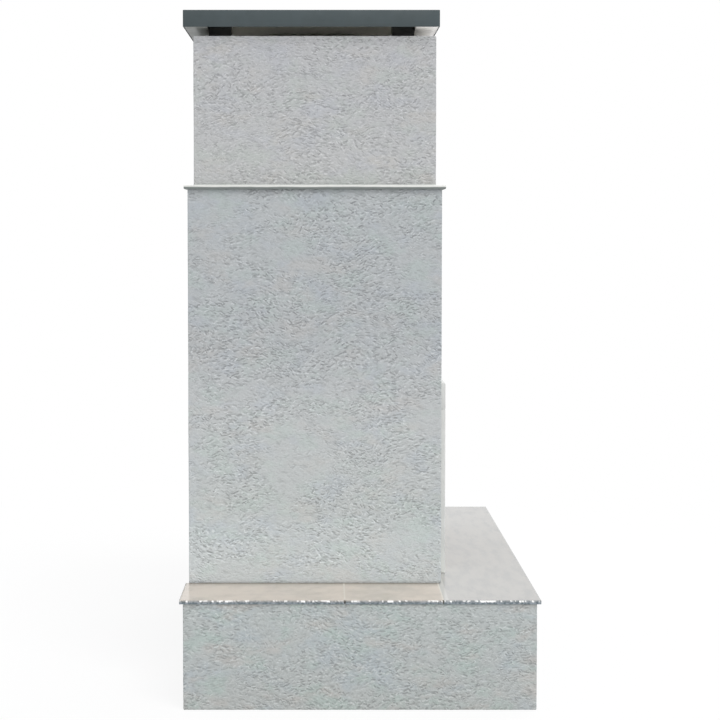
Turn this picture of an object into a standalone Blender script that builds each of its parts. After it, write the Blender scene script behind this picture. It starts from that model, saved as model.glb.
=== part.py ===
"""An outdoor fireplace on a raised hearth: rendered blockwork, stone slabs, a lined
firebox with a throat damper, a flue, and a metal cap on legs.

Metres, +Z up. The front, with the fire opening, faces -Y. The origin is on the ground,
under the centre of the whole object's box."""

from math import cos, radians, sin

import bmesh
import bpy
from mathutils import Vector

# Bevels and shading
BEVEL_PROFILE_SHARE = 0.5
SMOOTH_BELOW_DEGREES = 40

# Masonry and joints
LAYING_GAP = 0.0003
RUNNING_GAP = 0.0006
CUT_OVERRUN = 0.004
BLOCK_THICKNESS = 0.100
RENDER_THICKNESS = 0.012
HEARTH_SLAB_THICKNESS = 0.014
LEDGE_THICKNESS = 0.014
STONE_ARRIS = 0.003
STONE_JOINT = 0.005
RENDER_STOP_GAP = 0.003

# Plinth and hearth
PLINTH_WIDTH = 1.974
PLINTH_DEPTH = 1.221
PLINTH_WALL_HEIGHT = 0.283
DECK_THICKNESS = 0.080
BED_THICKNESS = 0.008
HEARTH_OVERHANG = 0.012
GROUND_CLEARANCE = 0.001
SIDE_JOINT_FROM_REAR = 0.570
GROUT_DEPTH_BELOW_TOP = 0.001
SLAB_WALL_GAP = 0.003

# Body
BODY_WIDTH = 1.434
BODY_DEPTH = 0.908
BODY_HEIGHT = 1.415
TOP_SLAB_THICKNESS = 0.080
LEDGE_OVERHANG = 0.012
LEDGE_ARRIS = 0.003
LEDGE_ARRIS_STEPS = 2

# Column, crown and flue
COLUMN_INSET = 0.021
COLUMN_HEIGHT = 0.530
CROWN_THICKNESS = 0.050
FLUE_BORE = 0.250
FLUE_WALL = 0.025
FLUE_ABOVE_CROWN = 0.015

# Fire opening and firebox
OPENING_WIDTH = 0.870
OPENING_HEIGHT = 0.610
FIREBOX_DEPTH = 0.500
FIREBOX_BACK_WIDTH = 0.600
LINING_THICKNESS = 0.060
BACK_UPRIGHT_HEIGHT = 0.360
LINTEL_STEEL = 0.006
LINTEL_LEG = 0.080
LINTEL_BEARING = 0.100
LINTEL_END_GAP = 0.002
THROAT_ABOVE_LINTEL = 0.034

# Stone surround
SURROUND_BAND = 0.097
SURROUND_PROJECTION = 0.027

# Throat and damper
THROAT_FRAME_THICKNESS = 0.030
THROAT_FRAME_BEARING = 0.005
THROAT_WIDTH = 0.690
THROAT_DEPTH = 0.140
THROAT_REAR_BAR = 0.020
DAMPER_EDGE_GAP = 0.005
DAMPER_PLATE_THICKNESS = 0.005
SPINDLE_RADIUS = 0.006
SPINDLE_BEARING = 0.030
LEVER_LENGTH = 0.190
LEVER_WIDTH = 0.016
LEVER_THICKNESS = 0.005
LEVER_EYE_OUTER = 0.014
LEVER_EYE_BORE = 0.008
LEVER_LEAN_DEGREES = 35
LEVER_FOOT_IN_COLLAR_DEGREES = 60

# Smoke shelf and hood
HOOD_THICKNESS = 0.030
HOOD_SET_IN = 0.020
HOOD_BELOW_TOP_SLAB = 0.111

# Cap
CAP_WIDTH = 1.446
CAP_DEPTH = 0.910
CAP_HEIGHT = 0.060
CAP_GAP = 0.029
CAP_SET_BACK = 0.012
CAP_SHEET = 0.002
CAP_CORNER_RADIUS = 0.002
CAP_DECK_THICKNESS = 0.020
CAP_RAIL_TO_LEG = 0.0025
CAP_RAIL_RECESS = 0.002
LEG_SIZE = 0.080
LEG_WALL = 0.004
LEG_FOOT = 0.104
LEG_FOOT_THICKNESS = 0.006
LEG_FROM_CAP_END = 0.100
LEG_FROM_CAP_FRONT = 0.085

# Spark arrestor round the flue outlet
ARRESTOR_SIZE = 0.360
ARRESTOR_RING = 0.008
ARRESTOR_BAR = 0.004
ARRESTOR_BARS_PER_SIDE = 11

# Log grate and ash pan
GRATE_WIDTH = 0.500
GRATE_DEPTH = 0.340
GRATE_CLEAR_HEIGHT = 0.090
GRATE_BAR = 0.018
GRATE_BAR_COUNT = 7
GRATE_FRONT_UPSTAND = 0.060
GRATE_FROM_BACK = 0.050
GRATE_LEG_INSET = 0.040
GRATE_SINK = 0.002
PAN_WIDTH = 0.380
PAN_DEPTH = 0.320
PAN_HEIGHT = 0.050
PAN_WALL = 0.002
PAN_HANDLE_WIDTH = 0.110
PAN_HANDLE_REACH = 0.030
PAN_HANDLE_ROD = 0.008

# Levels, from the ground up
PLINTH_TOP = PLINTH_WALL_HEIGHT + DECK_THICKNESS
BED_TOP = PLINTH_TOP + BED_THICKNESS
HEARTH_TOP = BED_TOP + HEARTH_SLAB_THICKNESS
BODY_TOP = HEARTH_TOP + BODY_HEIGHT
BODY_WALL_TOP = BODY_TOP - TOP_SLAB_THICKNESS
LEDGE_TOP = BODY_TOP + LEDGE_THICKNESS
COLUMN_TOP = LEDGE_TOP + COLUMN_HEIGHT
CROWN_BOTTOM = COLUMN_TOP - CROWN_THICKNESS
OPENING_TOP = HEARTH_TOP + OPENING_HEIGHT
THROAT_BOTTOM = OPENING_TOP + LINTEL_LEG + THROAT_ABOVE_LINTEL
THROAT_TOP = THROAT_BOTTOM + THROAT_FRAME_THICKNESS
HOOD_TOP = BODY_WALL_TOP - HOOD_BELOW_TOP_SLAB
CAP_BOTTOM = COLUMN_TOP + CAP_GAP
CAP_TOP = CAP_BOTTOM + CAP_HEIGHT
CAP_DECK_BOTTOM = CAP_TOP - CAP_SHEET - CAP_DECK_THICKNESS

# Places front to back: -Y is the front
COLUMN_WIDTH = BODY_WIDTH - 2 * COLUMN_INSET
COLUMN_DEPTH = BODY_DEPTH - 2 * COLUMN_INSET
CAP_REAR_REACH = (CAP_DEPTH - COLUMN_DEPTH) / 2 + CAP_SET_BACK - COLUMN_INSET
REAR_REACH = max(HEARTH_OVERHANG, LEDGE_OVERHANG, CAP_REAR_REACH)
REAR_Y = (PLINTH_DEPTH + HEARTH_OVERHANG - REAR_REACH) / 2
PLINTH_FRONT_Y = REAR_Y - PLINTH_DEPTH
BODY_FRONT_Y = REAR_Y - BODY_DEPTH
BODY_MIDDLE_Y = REAR_Y - BODY_DEPTH / 2
BLOCK_FRONT_Y = BODY_FRONT_Y + RENDER_THICKNESS
BLOCK_REAR_Y = REAR_Y - RENDER_THICKNESS
ROOM_FRONT_Y = BLOCK_FRONT_Y + BLOCK_THICKNESS
ROOM_REAR_Y = BLOCK_REAR_Y - BLOCK_THICKNESS
BLOCK_HALF = BODY_WIDTH / 2 - RENDER_THICKNESS
LINING_FRONT_Y = BODY_FRONT_Y + LAYING_GAP
FIREBOX_REAR_Y = BLOCK_FRONT_Y + FIREBOX_DEPTH
THROAT_FRONT_Y = ROOM_FRONT_Y + HOOD_THICKNESS + DAMPER_EDGE_GAP
THROAT_REAR_Y = THROAT_FRONT_Y + THROAT_DEPTH
THROAT_FRAME_REAR_Y = THROAT_REAR_Y + THROAT_REAR_BAR
THROAT_FRAME_HALF = OPENING_WIDTH / 2 + LINING_THICKNESS + THROAT_FRAME_BEARING
SPINDLE_Y = (THROAT_FRONT_Y + THROAT_REAR_Y) / 2
SPINDLE_Z = (THROAT_BOTTOM + THROAT_TOP) / 2
CAP_MIDDLE_Y = BODY_MIDDLE_Y + CAP_SET_BACK

# The front slabs run the plinth's whole width, and the side strips behind are jointed once
SLAB_REAR_Y = REAR_Y + HEARTH_OVERHANG
SLAB_FRONT_Y = PLINTH_FRONT_Y - HEARTH_OVERHANG
SLAB_OUTER_X = PLINTH_WIDTH / 2 + HEARTH_OVERHANG
SIDE_JOINT_Y = SLAB_REAR_Y - SIDE_JOINT_FROM_REAR
FRONT_JOINT_Y = BLOCK_FRONT_Y - SLAB_WALL_GAP + STONE_JOINT / 2

COLOURS = {
    # name: (linear colour, roughness, metallic)
    "render": ((0.47, 0.49, 0.49), 0.92, 0.0),
    "concrete": ((0.36, 0.35, 0.33), 0.90, 0.0),
    "blockwork": ((0.30, 0.30, 0.29), 0.95, 0.0),
    "mortar": ((0.62, 0.60, 0.55), 0.95, 0.0),
    "stone": ((0.60, 0.56, 0.50), 0.25, 0.0),
    "firebrick": ((0.55, 0.40, 0.26), 0.85, 0.0),
    "refractory": ((0.45, 0.40, 0.34), 0.90, 0.0),
    "clay": ((0.50, 0.22, 0.12), 0.80, 0.0),
    "cast_iron": ((0.035, 0.035, 0.037), 0.65, 0.6),
    "steel": ((0.20, 0.20, 0.21), 0.45, 0.9),
    "anthracite": ((0.076, 0.095, 0.104), 0.42, 0.3),
    "soffit": ((0.66, 0.62, 0.57), 0.70, 0.0),
    "black_steel": ((0.012, 0.012, 0.012), 0.55, 0.2),
}


def clear_scene():
    for obj in list(bpy.data.objects):
        bpy.data.objects.remove(obj)


def finish(name):
    """The Principled material of one finish, made when it is first asked for."""
    if name in bpy.data.materials:
        return bpy.data.materials[name]
    colour, roughness, metallic = COLOURS[name]
    material = bpy.data.materials.new(name)
    material.use_nodes = True
    shader = material.node_tree.nodes["Principled BSDF"]
    shader.inputs["Base Color"].default_value = (*colour, 1.0)
    shader.inputs["Roughness"].default_value = roughness
    shader.inputs["Metallic"].default_value = metallic
    return material


def add_object(name, shape, place, material):
    """A named object from a bmesh that is drawn about its own place."""
    shape.normal_update()
    bmesh.ops.recalc_face_normals(shape, faces=shape.faces)
    mesh = bpy.data.meshes.new(name)
    shape.to_mesh(mesh)
    shape.free()
    obj = bpy.data.objects.new(name, mesh)
    obj.location = place
    obj.data.materials.append(finish(material))
    bpy.context.scene.collection.objects.link(obj)
    return obj


def hide_helper(obj):
    obj.hide_render = True
    obj.display_type = "WIRE"
    return obj


def block(name, x_span, y_span, z_span, material, arrises=(), arris=STONE_ARRIS):
    """A rectangular piece between two x, two y and two z places. Its origin is at the
    middle of its underside. arrises names the sides whose upper edge is chamfered."""
    sizes = [span[1] - span[0] for span in (x_span, y_span, z_span)]
    shape = bmesh.new()
    bmesh.ops.create_cube(shape, size=1)
    bmesh.ops.scale(shape, vec=sizes, verts=shape.verts)
    bmesh.ops.translate(shape, vec=(0, 0, sizes[2] / 2), verts=shape.verts)
    side_of = {"left": (0, -1), "right": (0, 1), "front": (1, -1), "rear": (1, 1)}
    chosen = []
    for edge in shape.edges:
        middle = (edge.verts[0].co + edge.verts[1].co) / 2
        for side in arrises:
            axis, sign = side_of[side]
            on_side = abs(middle[axis] - sign * sizes[axis] / 2) < arris / 2
            if on_side and abs(middle.z - sizes[2]) < arris / 2:
                chosen.append(edge)
    if chosen:
        bmesh.ops.bevel(
            shape, geom=chosen, offset=arris, segments=1, profile=BEVEL_PROFILE_SHARE, affect="EDGES"
        )
    place = (sum(x_span) / 2, sum(y_span) / 2, z_span[0])
    return add_object(name, shape, place, material)


def helper_block(name, x_span, y_span, z_span, material="concrete"):
    return hide_helper(block(name, x_span, y_span, z_span, material))


def boolean(target, other, operation):
    modifier = target.modifiers.new(other.name, "BOOLEAN")
    modifier.operation = operation
    modifier.solver = "EXACT"
    modifier.object = other
    return target


def cut(target, *others):
    for other in others:
        boolean(target, other, "DIFFERENCE")
    return target


def unite(target, *others):
    for other in others:
        boolean(target, other, "UNION")
    return target


def prism(name, outline, width_at, material, x_from=None):
    """A solid whose Y-Z outline is carried across X. width_at(y) is its right-hand X at
    each y, and x_from(y) its left-hand X, or the mirror image where none is given."""
    shape = bmesh.new()
    origin = Vector((0, outline[0][0], outline[0][1]))
    left_of = x_from or (lambda y: -width_at(y))
    rings = []
    for x_of in (left_of, width_at):
        rings.append(
            [shape.verts.new(Vector((x_of(y), y, z)) - origin) for y, z in outline]
        )
    shape.faces.new(rings[0])
    shape.faces.new(list(reversed(rings[1])))
    count = len(outline)
    for i in range(count):
        j = (i + 1) % count
        shape.faces.new((rings[0][i], rings[1][i], rings[1][j], rings[0][j]))
    return add_object(name, shape, origin, material)


def cylinder_x(name, radius, x_span, y, z, material, segments=24):
    """A round bar along X, with its origin at its middle."""
    length = x_span[1] - x_span[0]
    shape = bmesh.new()
    bmesh.ops.create_cone(
        shape, cap_ends=True, segments=segments, radius1=radius, radius2=radius, depth=length
    )
    for vert in shape.verts:
        vert.co = Vector((vert.co.z, vert.co.x, vert.co.y))
    obj = add_object(name, shape, (sum(x_span) / 2, y, z), material)
    obj.data.shade_smooth()
    obj.data.set_sharp_from_angle(angle=radians(SMOOTH_BELOW_DEGREES))
    return obj


def four_walls(prefix, half_width, front_y, rear_y, z_span):
    """Blockwork round a rectangle: front and rear walls run full width, and the side
    walls stand between them."""
    across = (-half_width, half_width)
    inner_front = front_y + BLOCK_THICKNESS
    inner_rear = rear_y - BLOCK_THICKNESS
    inner_half = half_width - BLOCK_THICKNESS
    block(prefix + "_wall_front", across, (front_y, inner_front), z_span, "blockwork")
    block(prefix + "_wall_rear", across, (inner_rear, rear_y), z_span, "blockwork")
    between = (inner_front + LAYING_GAP, inner_rear - LAYING_GAP)
    block(prefix + "_wall_left", (-half_width, -inner_half), between, z_span, "blockwork")
    block(prefix + "_wall_right", (inner_half, half_width), between, z_span, "blockwork")


def render_coat(name, half_width, front_y, rear_y, z_span):
    """The render on four faces of blockwork, as a shell that is open above and below."""
    coat = block(name, (-half_width, half_width), (front_y, rear_y), z_span, "render")
    core_half = half_width - RENDER_THICKNESS + LAYING_GAP
    core_y = (front_y + RENDER_THICKNESS - LAYING_GAP, rear_y - RENDER_THICKNESS + LAYING_GAP)
    core_z = (z_span[0] - CUT_OVERRUN, z_span[1] + CUT_OVERRUN)
    return cut(coat, helper_block(name + "_core", (-core_half, core_half), core_y, core_z))


def build_plinth():
    half = PLINTH_WIDTH / 2 - RENDER_THICKNESS
    front_y = PLINTH_FRONT_Y + RENDER_THICKNESS
    rear_y = REAR_Y - RENDER_THICKNESS
    four_walls("plinth", half, front_y, rear_y, (0, PLINTH_WALL_HEIGHT))
    deck_z = (PLINTH_WALL_HEIGHT + LAYING_GAP, PLINTH_TOP)
    block("plinth_deck", (-half, half), (front_y, rear_y), deck_z, "concrete")
    coat_z = (GROUND_CLEARANCE, BED_TOP)
    render_coat("plinth_render", PLINTH_WIDTH / 2, PLINTH_FRONT_Y, REAR_Y, coat_z)
    build_mortar_bed(half, front_y, rear_y)


def build_mortar_bed(half, front_y, rear_y):
    """The bed that the hearth slabs lie in, with the grout that stands up between them."""
    bed_z = (PLINTH_TOP + LAYING_GAP, BED_TOP)
    bed = block("hearth_mortar_bed", (-half, half), (front_y, rear_y), bed_z, "mortar")
    grout_z = (bed_z[0], HEARTH_TOP - GROUT_DEPTH_BELOW_TOP)
    half_joint = STONE_JOINT / 2 - LAYING_GAP
    for name, x_span, y_span in (
        (
            "grout_left",
            (-half, -BLOCK_HALF - SLAB_WALL_GAP),
            (SIDE_JOINT_Y - half_joint, SIDE_JOINT_Y + half_joint),
        ),
        (
            "grout_right",
            (BLOCK_HALF + SLAB_WALL_GAP, half),
            (SIDE_JOINT_Y - half_joint, SIDE_JOINT_Y + half_joint),
        ),
        ("grout_centre", (-half_joint, half_joint), (front_y, BLOCK_FRONT_Y - SLAB_WALL_GAP)),
        (
            "grout_front_left",
            (-half, -BLOCK_HALF - SLAB_WALL_GAP),
            (FRONT_JOINT_Y - half_joint, FRONT_JOINT_Y + half_joint),
        ),
        (
            "grout_front_right",
            (BLOCK_HALF + SLAB_WALL_GAP, half),
            (FRONT_JOINT_Y - half_joint, FRONT_JOINT_Y + half_joint),
        ),
    ):
        unite(bed, helper_block(name, x_span, y_span, grout_z, "mortar"))
    foot = BLOCK_HALF + LAYING_GAP
    footprint_y = (BLOCK_FRONT_Y - LAYING_GAP, rear_y + CUT_OVERRUN)
    footprint_z = (PLINTH_TOP - CUT_OVERRUN, HEARTH_TOP + CUT_OVERRUN)
    cut(bed, helper_block("bed_body_footprint", (-foot, foot), footprint_y, footprint_z))


def build_hearth_slabs():
    slab_z = (BED_TOP + LAYING_GAP, HEARTH_TOP)
    half_joint = STONE_JOINT / 2
    inner_x = BLOCK_HALF + SLAB_WALL_GAP
    for side, sign in (("left", -1), ("right", 1)):
        across = tuple(sorted((sign * inner_x, sign * SLAB_OUTER_X)))
        block(
            f"hearth_slab_{side}_rear",
            across,
            (SIDE_JOINT_Y + half_joint, SLAB_REAR_Y),
            slab_z,
            "stone",
            (side, "rear"),
        )
        block(
            f"hearth_slab_{side}_front",
            across,
            (FRONT_JOINT_Y + half_joint, SIDE_JOINT_Y - half_joint),
            slab_z,
            "stone",
            (side,),
        )
        block(
            f"hearth_slab_front_{side}",
            tuple(sorted((sign * half_joint, sign * SLAB_OUTER_X))),
            (SLAB_FRONT_Y, FRONT_JOINT_Y - half_joint),
            slab_z,
            "stone",
            (side, "front"),
        )


def firebox_half(y):
    """Half the firebox's clear width at y: the sides splay from the back to the front."""
    share = (y - LINING_FRONT_Y) / (FIREBOX_REAR_Y - LINING_FRONT_Y)
    return (OPENING_WIDTH * (1 - share) + FIREBOX_BACK_WIDTH * share) / 2


def build_firebox():
    floor_bottom = PLINTH_TOP + LAYING_GAP
    side_bottom = HEARTH_TOP + LAYING_GAP
    lining_rear_y = FIREBOX_REAR_Y + LINING_THICKNESS
    back_top_y = THROAT_REAR_Y + LAYING_GAP
    upright_top = HEARTH_TOP + BACK_UPRIGHT_HEIGHT
    outer_half = OPENING_WIDTH / 2 + LINING_THICKNESS
    floor_y = (BLOCK_FRONT_Y, lining_rear_y)
    block("firebox_floor", (-outer_half, outer_half), floor_y, (floor_bottom, HEARTH_TOP), "firebrick")
    notch_y = ROOM_FRONT_Y + LINTEL_STEEL + 2 * LAYING_GAP
    notch_z = OPENING_TOP - LAYING_GAP
    side_outline = (
        (LINING_FRONT_Y, side_bottom),
        (lining_rear_y, side_bottom),
        (lining_rear_y, THROAT_BOTTOM),
        (notch_y, THROAT_BOTTOM),
        (notch_y, notch_z),
        (LINING_FRONT_Y, notch_z),
    )

    def outer(y):
        return firebox_half(y) + LINING_THICKNESS

    prism("firebox_side_right", side_outline, outer, "firebrick", firebox_half)
    prism(
        "firebox_side_left",
        side_outline,
        lambda y: -firebox_half(y),
        "firebrick",
        lambda y: -outer(y),
    )
    back_outline = (
        (FIREBOX_REAR_Y, side_bottom),
        (FIREBOX_REAR_Y, upright_top),
        (back_top_y, THROAT_BOTTOM),
        (back_top_y + LINING_THICKNESS, THROAT_BOTTOM),
        (lining_rear_y, upright_top),
        (lining_rear_y, side_bottom),
    )
    prism("firebox_back", back_outline, lambda y: firebox_half(y) - LAYING_GAP, "firebrick")


def build_body():
    wall_z = (PLINTH_TOP + LAYING_GAP, BODY_WALL_TOP)
    across = (-BLOCK_HALF, BLOCK_HALF)
    inner_half = BLOCK_HALF - BLOCK_THICKNESS
    between = (ROOM_FRONT_Y + LAYING_GAP, ROOM_REAR_Y - LAYING_GAP)
    front = (BLOCK_FRONT_Y, ROOM_FRONT_Y)
    block("body_wall_rear", across, (ROOM_REAR_Y, BLOCK_REAR_Y), wall_z, "blockwork")
    block("body_wall_left", (-BLOCK_HALF, -inner_half), between, wall_z, "blockwork")
    block("body_wall_right", (inner_half, BLOCK_HALF), between, wall_z, "blockwork")
    pier_inner = OPENING_WIDTH / 2 + LINING_THICKNESS + LAYING_GAP
    pier_z = (wall_z[0], OPENING_TOP - LAYING_GAP)
    block("body_pier_left", (-BLOCK_HALF, -pier_inner), front, pier_z, "blockwork")
    block("body_pier_right", (pier_inner, BLOCK_HALF), front, pier_z, "blockwork")
    over = block(
        "body_wall_over_opening",
        across,
        front,
        (OPENING_TOP, BODY_WALL_TOP),
        "blockwork",
    )
    lintel_half = pier_inner + LINTEL_BEARING
    recess_half = lintel_half + LINTEL_END_GAP
    recess = helper_block(
        "lintel_recess",
        (-recess_half, recess_half),
        (BLOCK_FRONT_Y - CUT_OVERRUN, ROOM_FRONT_Y + CUT_OVERRUN),
        (OPENING_TOP - CUT_OVERRUN, OPENING_TOP + LINTEL_STEEL + LAYING_GAP),
    )
    cut(over, recess)
    build_lintel(pier_inner + LINTEL_BEARING)
    slab_z = (BODY_WALL_TOP + LAYING_GAP, BODY_TOP)
    top_slab = block("body_top_slab", across, (BLOCK_FRONT_Y, BLOCK_REAR_Y), slab_z, "concrete")
    cut(top_slab, flue_passage("top_slab_flue_hole", slab_z))
    build_body_render()


def build_lintel(half):
    """A steel angle: one leg under the blocks over the opening, one up behind them."""
    seat_y = (BLOCK_FRONT_Y, ROOM_FRONT_Y + LAYING_GAP + LINTEL_STEEL)
    lintel = block(
        "opening_lintel",
        (-half, half),
        seat_y,
        (OPENING_TOP, OPENING_TOP + LINTEL_STEEL),
        "steel",
    )
    side_clear = firebox_half(ROOM_FRONT_Y) - LAYING_GAP
    upright = helper_block(
        "lintel_upright",
        (-side_clear, side_clear),
        (ROOM_FRONT_Y + LAYING_GAP, ROOM_FRONT_Y + LAYING_GAP + LINTEL_STEEL),
        (OPENING_TOP, OPENING_TOP + LINTEL_LEG),
        "steel",
    )
    unite(lintel, upright)


def build_body_render():
    """The body's render stops just above the hearth slabs. Behind, where the body and
    the plinth are flush, it runs on down to the plinth's render."""
    half = BODY_WIDTH / 2
    coat_z = (HEARTH_TOP + RENDER_STOP_GAP, BODY_TOP)
    coat = render_coat("body_render", half, BODY_FRONT_Y, REAR_Y, coat_z)
    opening_half = OPENING_WIDTH / 2 + LINING_THICKNESS + 2 * LAYING_GAP
    opening = helper_block(
        "render_opening",
        (-opening_half, opening_half),
        (BODY_FRONT_Y - CUT_OVERRUN, BLOCK_FRONT_Y + CUT_OVERRUN),
        (HEARTH_TOP - CUT_OVERRUN, OPENING_TOP),
    )
    skirt = helper_block(
        "render_rear_skirt",
        (-BLOCK_HALF, BLOCK_HALF),
        (BLOCK_REAR_Y + LAYING_GAP, REAR_Y),
        (BED_TOP + LAYING_GAP, coat_z[0] + RENDER_THICKNESS),
        "render",
    )
    cut(coat, opening)
    unite(coat, skirt)


def build_surround():
    """Three stone bands round the opening, set on the face of the render."""
    outer_half = OPENING_WIDTH / 2 + SURROUND_BAND
    face_y = (BODY_FRONT_Y - SURROUND_PROJECTION, BODY_FRONT_Y - LAYING_GAP)
    leg_z = (HEARTH_TOP + LAYING_GAP, OPENING_TOP - LAYING_GAP)
    inner_half = OPENING_WIDTH / 2
    block("surround_left", (-outer_half, -inner_half), face_y, leg_z, "stone")
    block("surround_right", (inner_half, outer_half), face_y, leg_z, "stone")
    header_z = (OPENING_TOP, OPENING_TOP + SURROUND_BAND)
    block("surround_header", (-outer_half, outer_half), face_y, header_z, "stone", ("front",))


def build_throat():
    """The frame over the firebox, with open notches that carry the damper's spindle."""
    frame_z = (THROAT_BOTTOM + LAYING_GAP, THROAT_TOP)
    frame = block(
        "throat_frame",
        (-THROAT_FRAME_HALF, THROAT_FRAME_HALF),
        (ROOM_FRONT_Y + LAYING_GAP, THROAT_FRAME_REAR_Y),
        frame_z,
        "refractory",
    )
    throat_half = THROAT_WIDTH / 2
    passage = helper_block(
        "throat_passage",
        (-throat_half, throat_half),
        (THROAT_FRONT_Y, THROAT_REAR_Y),
        (frame_z[0] - CUT_OVERRUN, frame_z[1] + CUT_OVERRUN),
    )
    notch_radius = SPINDLE_RADIUS + RUNNING_GAP
    notch_half = throat_half + SPINDLE_BEARING + DAMPER_EDGE_GAP
    seat = hide_helper(
        cylinder_x(
            "spindle_seat", notch_radius, (-notch_half, notch_half), SPINDLE_Y, SPINDLE_Z, "steel"
        )
    )
    way_in = helper_block(
        "spindle_way_in",
        (-notch_half, notch_half),
        (SPINDLE_Y - notch_radius, SPINDLE_Y + notch_radius),
        (SPINDLE_Z, frame_z[1] + CUT_OVERRUN),
    )
    cut(frame, passage, seat, way_in)


def build_damper():
    """The plate turns with its spindle and lever. All three have their origin on the
    spindle's axis, under one empty."""
    pivot = bpy.data.objects.new("damper_axis", None)
    pivot.location = (0, SPINDLE_Y, SPINDLE_Z)
    bpy.context.scene.collection.objects.link(pivot)
    plate_half = THROAT_WIDTH / 2 - DAMPER_EDGE_GAP
    plate_depth = THROAT_DEPTH / 2 - DAMPER_EDGE_GAP
    seat_top = SPINDLE_RADIUS + LAYING_GAP
    plate = block(
        "damper_plate",
        (-plate_half, plate_half),
        (-plate_depth, plate_depth),
        (seat_top, seat_top + DAMPER_PLATE_THICKNESS),
        "cast_iron",
    )
    spindle_half = THROAT_WIDTH / 2 + SPINDLE_BEARING
    spindle = cylinder_x(
        "damper_spindle", SPINDLE_RADIUS, (-spindle_half, spindle_half), 0, 0, "steel"
    )
    for obj in (plate, spindle, *build_lever()):
        obj.parent = pivot


def build_lever():
    """A flat bar with an eye at its foot and a collar round the spindle at its head. It
    leans forward while the plate is shut. Its helpers come with it, for the same parent."""
    collar = SPINDLE_RADIUS + RUNNING_GAP + LEVER_THICKNESS
    lean = radians(LEVER_LEAN_DEGREES)
    down = Vector((0, -sin(lean), -cos(lean)))
    lever = cylinder_x(
        "damper_lever", collar, (-LEVER_WIDTH / 2, LEVER_WIDTH / 2), 0, 0, "steel"
    )
    flat = collar * cos(radians(LEVER_FOOT_IN_COLLAR_DEGREES))
    lever_bar = helper_block(
        "lever_bar",
        (-LEVER_WIDTH / 2, LEVER_WIDTH / 2),
        (-LEVER_THICKNESS / 2, LEVER_THICKNESS / 2),
        (-LEVER_LENGTH, -flat),
        "steel",
    )
    lever_bar.location = down * LEVER_LENGTH
    lever_bar.rotation_euler = (-lean, 0, 0)
    eye = round_plate("lever_eye", LEVER_EYE_OUTER, LEVER_THICKNESS, down * LEVER_LENGTH, lean)
    bore = round_plate(
        "lever_eye_bore",
        LEVER_EYE_BORE,
        LEVER_THICKNESS + 2 * CUT_OVERRUN,
        down * LEVER_LENGTH,
        lean,
    )
    journal = hide_helper(
        cylinder_x(
            "lever_journal",
            SPINDLE_RADIUS + LAYING_GAP,
            (-LEVER_WIDTH, LEVER_WIDTH),
            0,
            0,
            "steel",
        )
    )
    plate_room = helper_block(
        "lever_plate_room",
        (-LEVER_WIDTH, LEVER_WIDTH),
        (-2 * collar, 2 * collar),
        (SPINDLE_RADIUS, 2 * collar),
    )
    unite(lever, lever_bar, eye)
    cut(lever, bore, journal, plate_room)
    return lever, lever_bar, eye, bore, journal, plate_room


def round_plate(name, radius, thickness, place, lean):
    """A disc that stands square to the way the lever swings, as a hidden helper."""
    shape = bmesh.new()
    bmesh.ops.create_cone(
        shape, cap_ends=True, segments=24, radius1=radius, radius2=radius, depth=thickness
    )
    for vert in shape.verts:
        vert.co = Vector((vert.co.x, -vert.co.z, vert.co.y))
    obj = hide_helper(add_object(name, shape, place, "steel"))
    obj.rotation_euler = (-lean, 0, 0)
    return obj


def build_smoke_shelf():
    inner_half = BLOCK_HALF - BLOCK_THICKNESS - LAYING_GAP
    block(
        "smoke_shelf",
        (-inner_half, inner_half),
        (THROAT_FRAME_REAR_Y + LAYING_GAP, ROOM_REAR_Y - LAYING_GAP),
        (THROAT_BOTTOM + LAYING_GAP, THROAT_TOP),
        "refractory",
    )


def build_hood():
    """Four panels that draw in from the throat and the smoke shelf to the flue, mitred
    where they meet."""
    base_z = THROAT_TOP + LAYING_GAP
    base_front = ROOM_FRONT_Y + LAYING_GAP
    base_rear = ROOM_REAR_Y - LAYING_GAP
    base_half = THROAT_FRAME_HALF - HOOD_SET_IN
    top_half = FLUE_BORE / 2 + HOOD_THICKNESS
    base = [
        Vector((-base_half, base_front, base_z)),
        Vector((base_half, base_front, base_z)),
        Vector((base_half, base_rear, base_z)),
        Vector((-base_half, base_rear, base_z)),
    ]
    top = [
        Vector((-top_half, BODY_MIDDLE_Y - top_half, HOOD_TOP)),
        Vector((top_half, BODY_MIDDLE_Y - top_half, HOOD_TOP)),
        Vector((top_half, BODY_MIDDLE_Y + top_half, HOOD_TOP)),
        Vector((-top_half, BODY_MIDDLE_Y + top_half, HOOD_TOP)),
    ]
    inward = [Vector((1, 1, 0)), Vector((-1, 1, 0)), Vector((-1, -1, 0)), Vector((1, -1, 0))]
    names = ("front", "right", "rear", "left")
    for i, side in enumerate(names):
        j = (i + 1) % len(names)
        along = (base[j] - base[i]).normalized() * LAYING_GAP
        shape = bmesh.new()
        corners = []
        for inset in (0, HOOD_THICKNESS):
            corners.append(
                [
                    shape.verts.new(base[i] + inward[i] * inset + along),
                    shape.verts.new(base[j] + inward[j] * inset - along),
                    shape.verts.new(top[j] + inward[j] * inset - along),
                    shape.verts.new(top[i] + inward[i] * inset + along),
                ]
            )
        outer, inner = corners
        shape.faces.new(outer)
        shape.faces.new(list(reversed(inner)))
        for a in range(4):
            b = (a + 1) % 4
            shape.faces.new((outer[a], inner[a], inner[b], outer[b]))
        place = (base[i] + base[j]) / 2
        bmesh.ops.translate(shape, vec=-place, verts=shape.verts)
        add_object(f"smoke_hood_{side}", shape, place, "refractory")


def flue_passage(name, z_span):
    """A helper that opens a slab for the flue liner."""
    half = FLUE_BORE / 2 + FLUE_WALL + LAYING_GAP
    return helper_block(
        name,
        (-half, half),
        (BODY_MIDDLE_Y - half, BODY_MIDDLE_Y + half),
        (z_span[0] - CUT_OVERRUN, z_span[1] + CUT_OVERRUN),
    )


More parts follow.
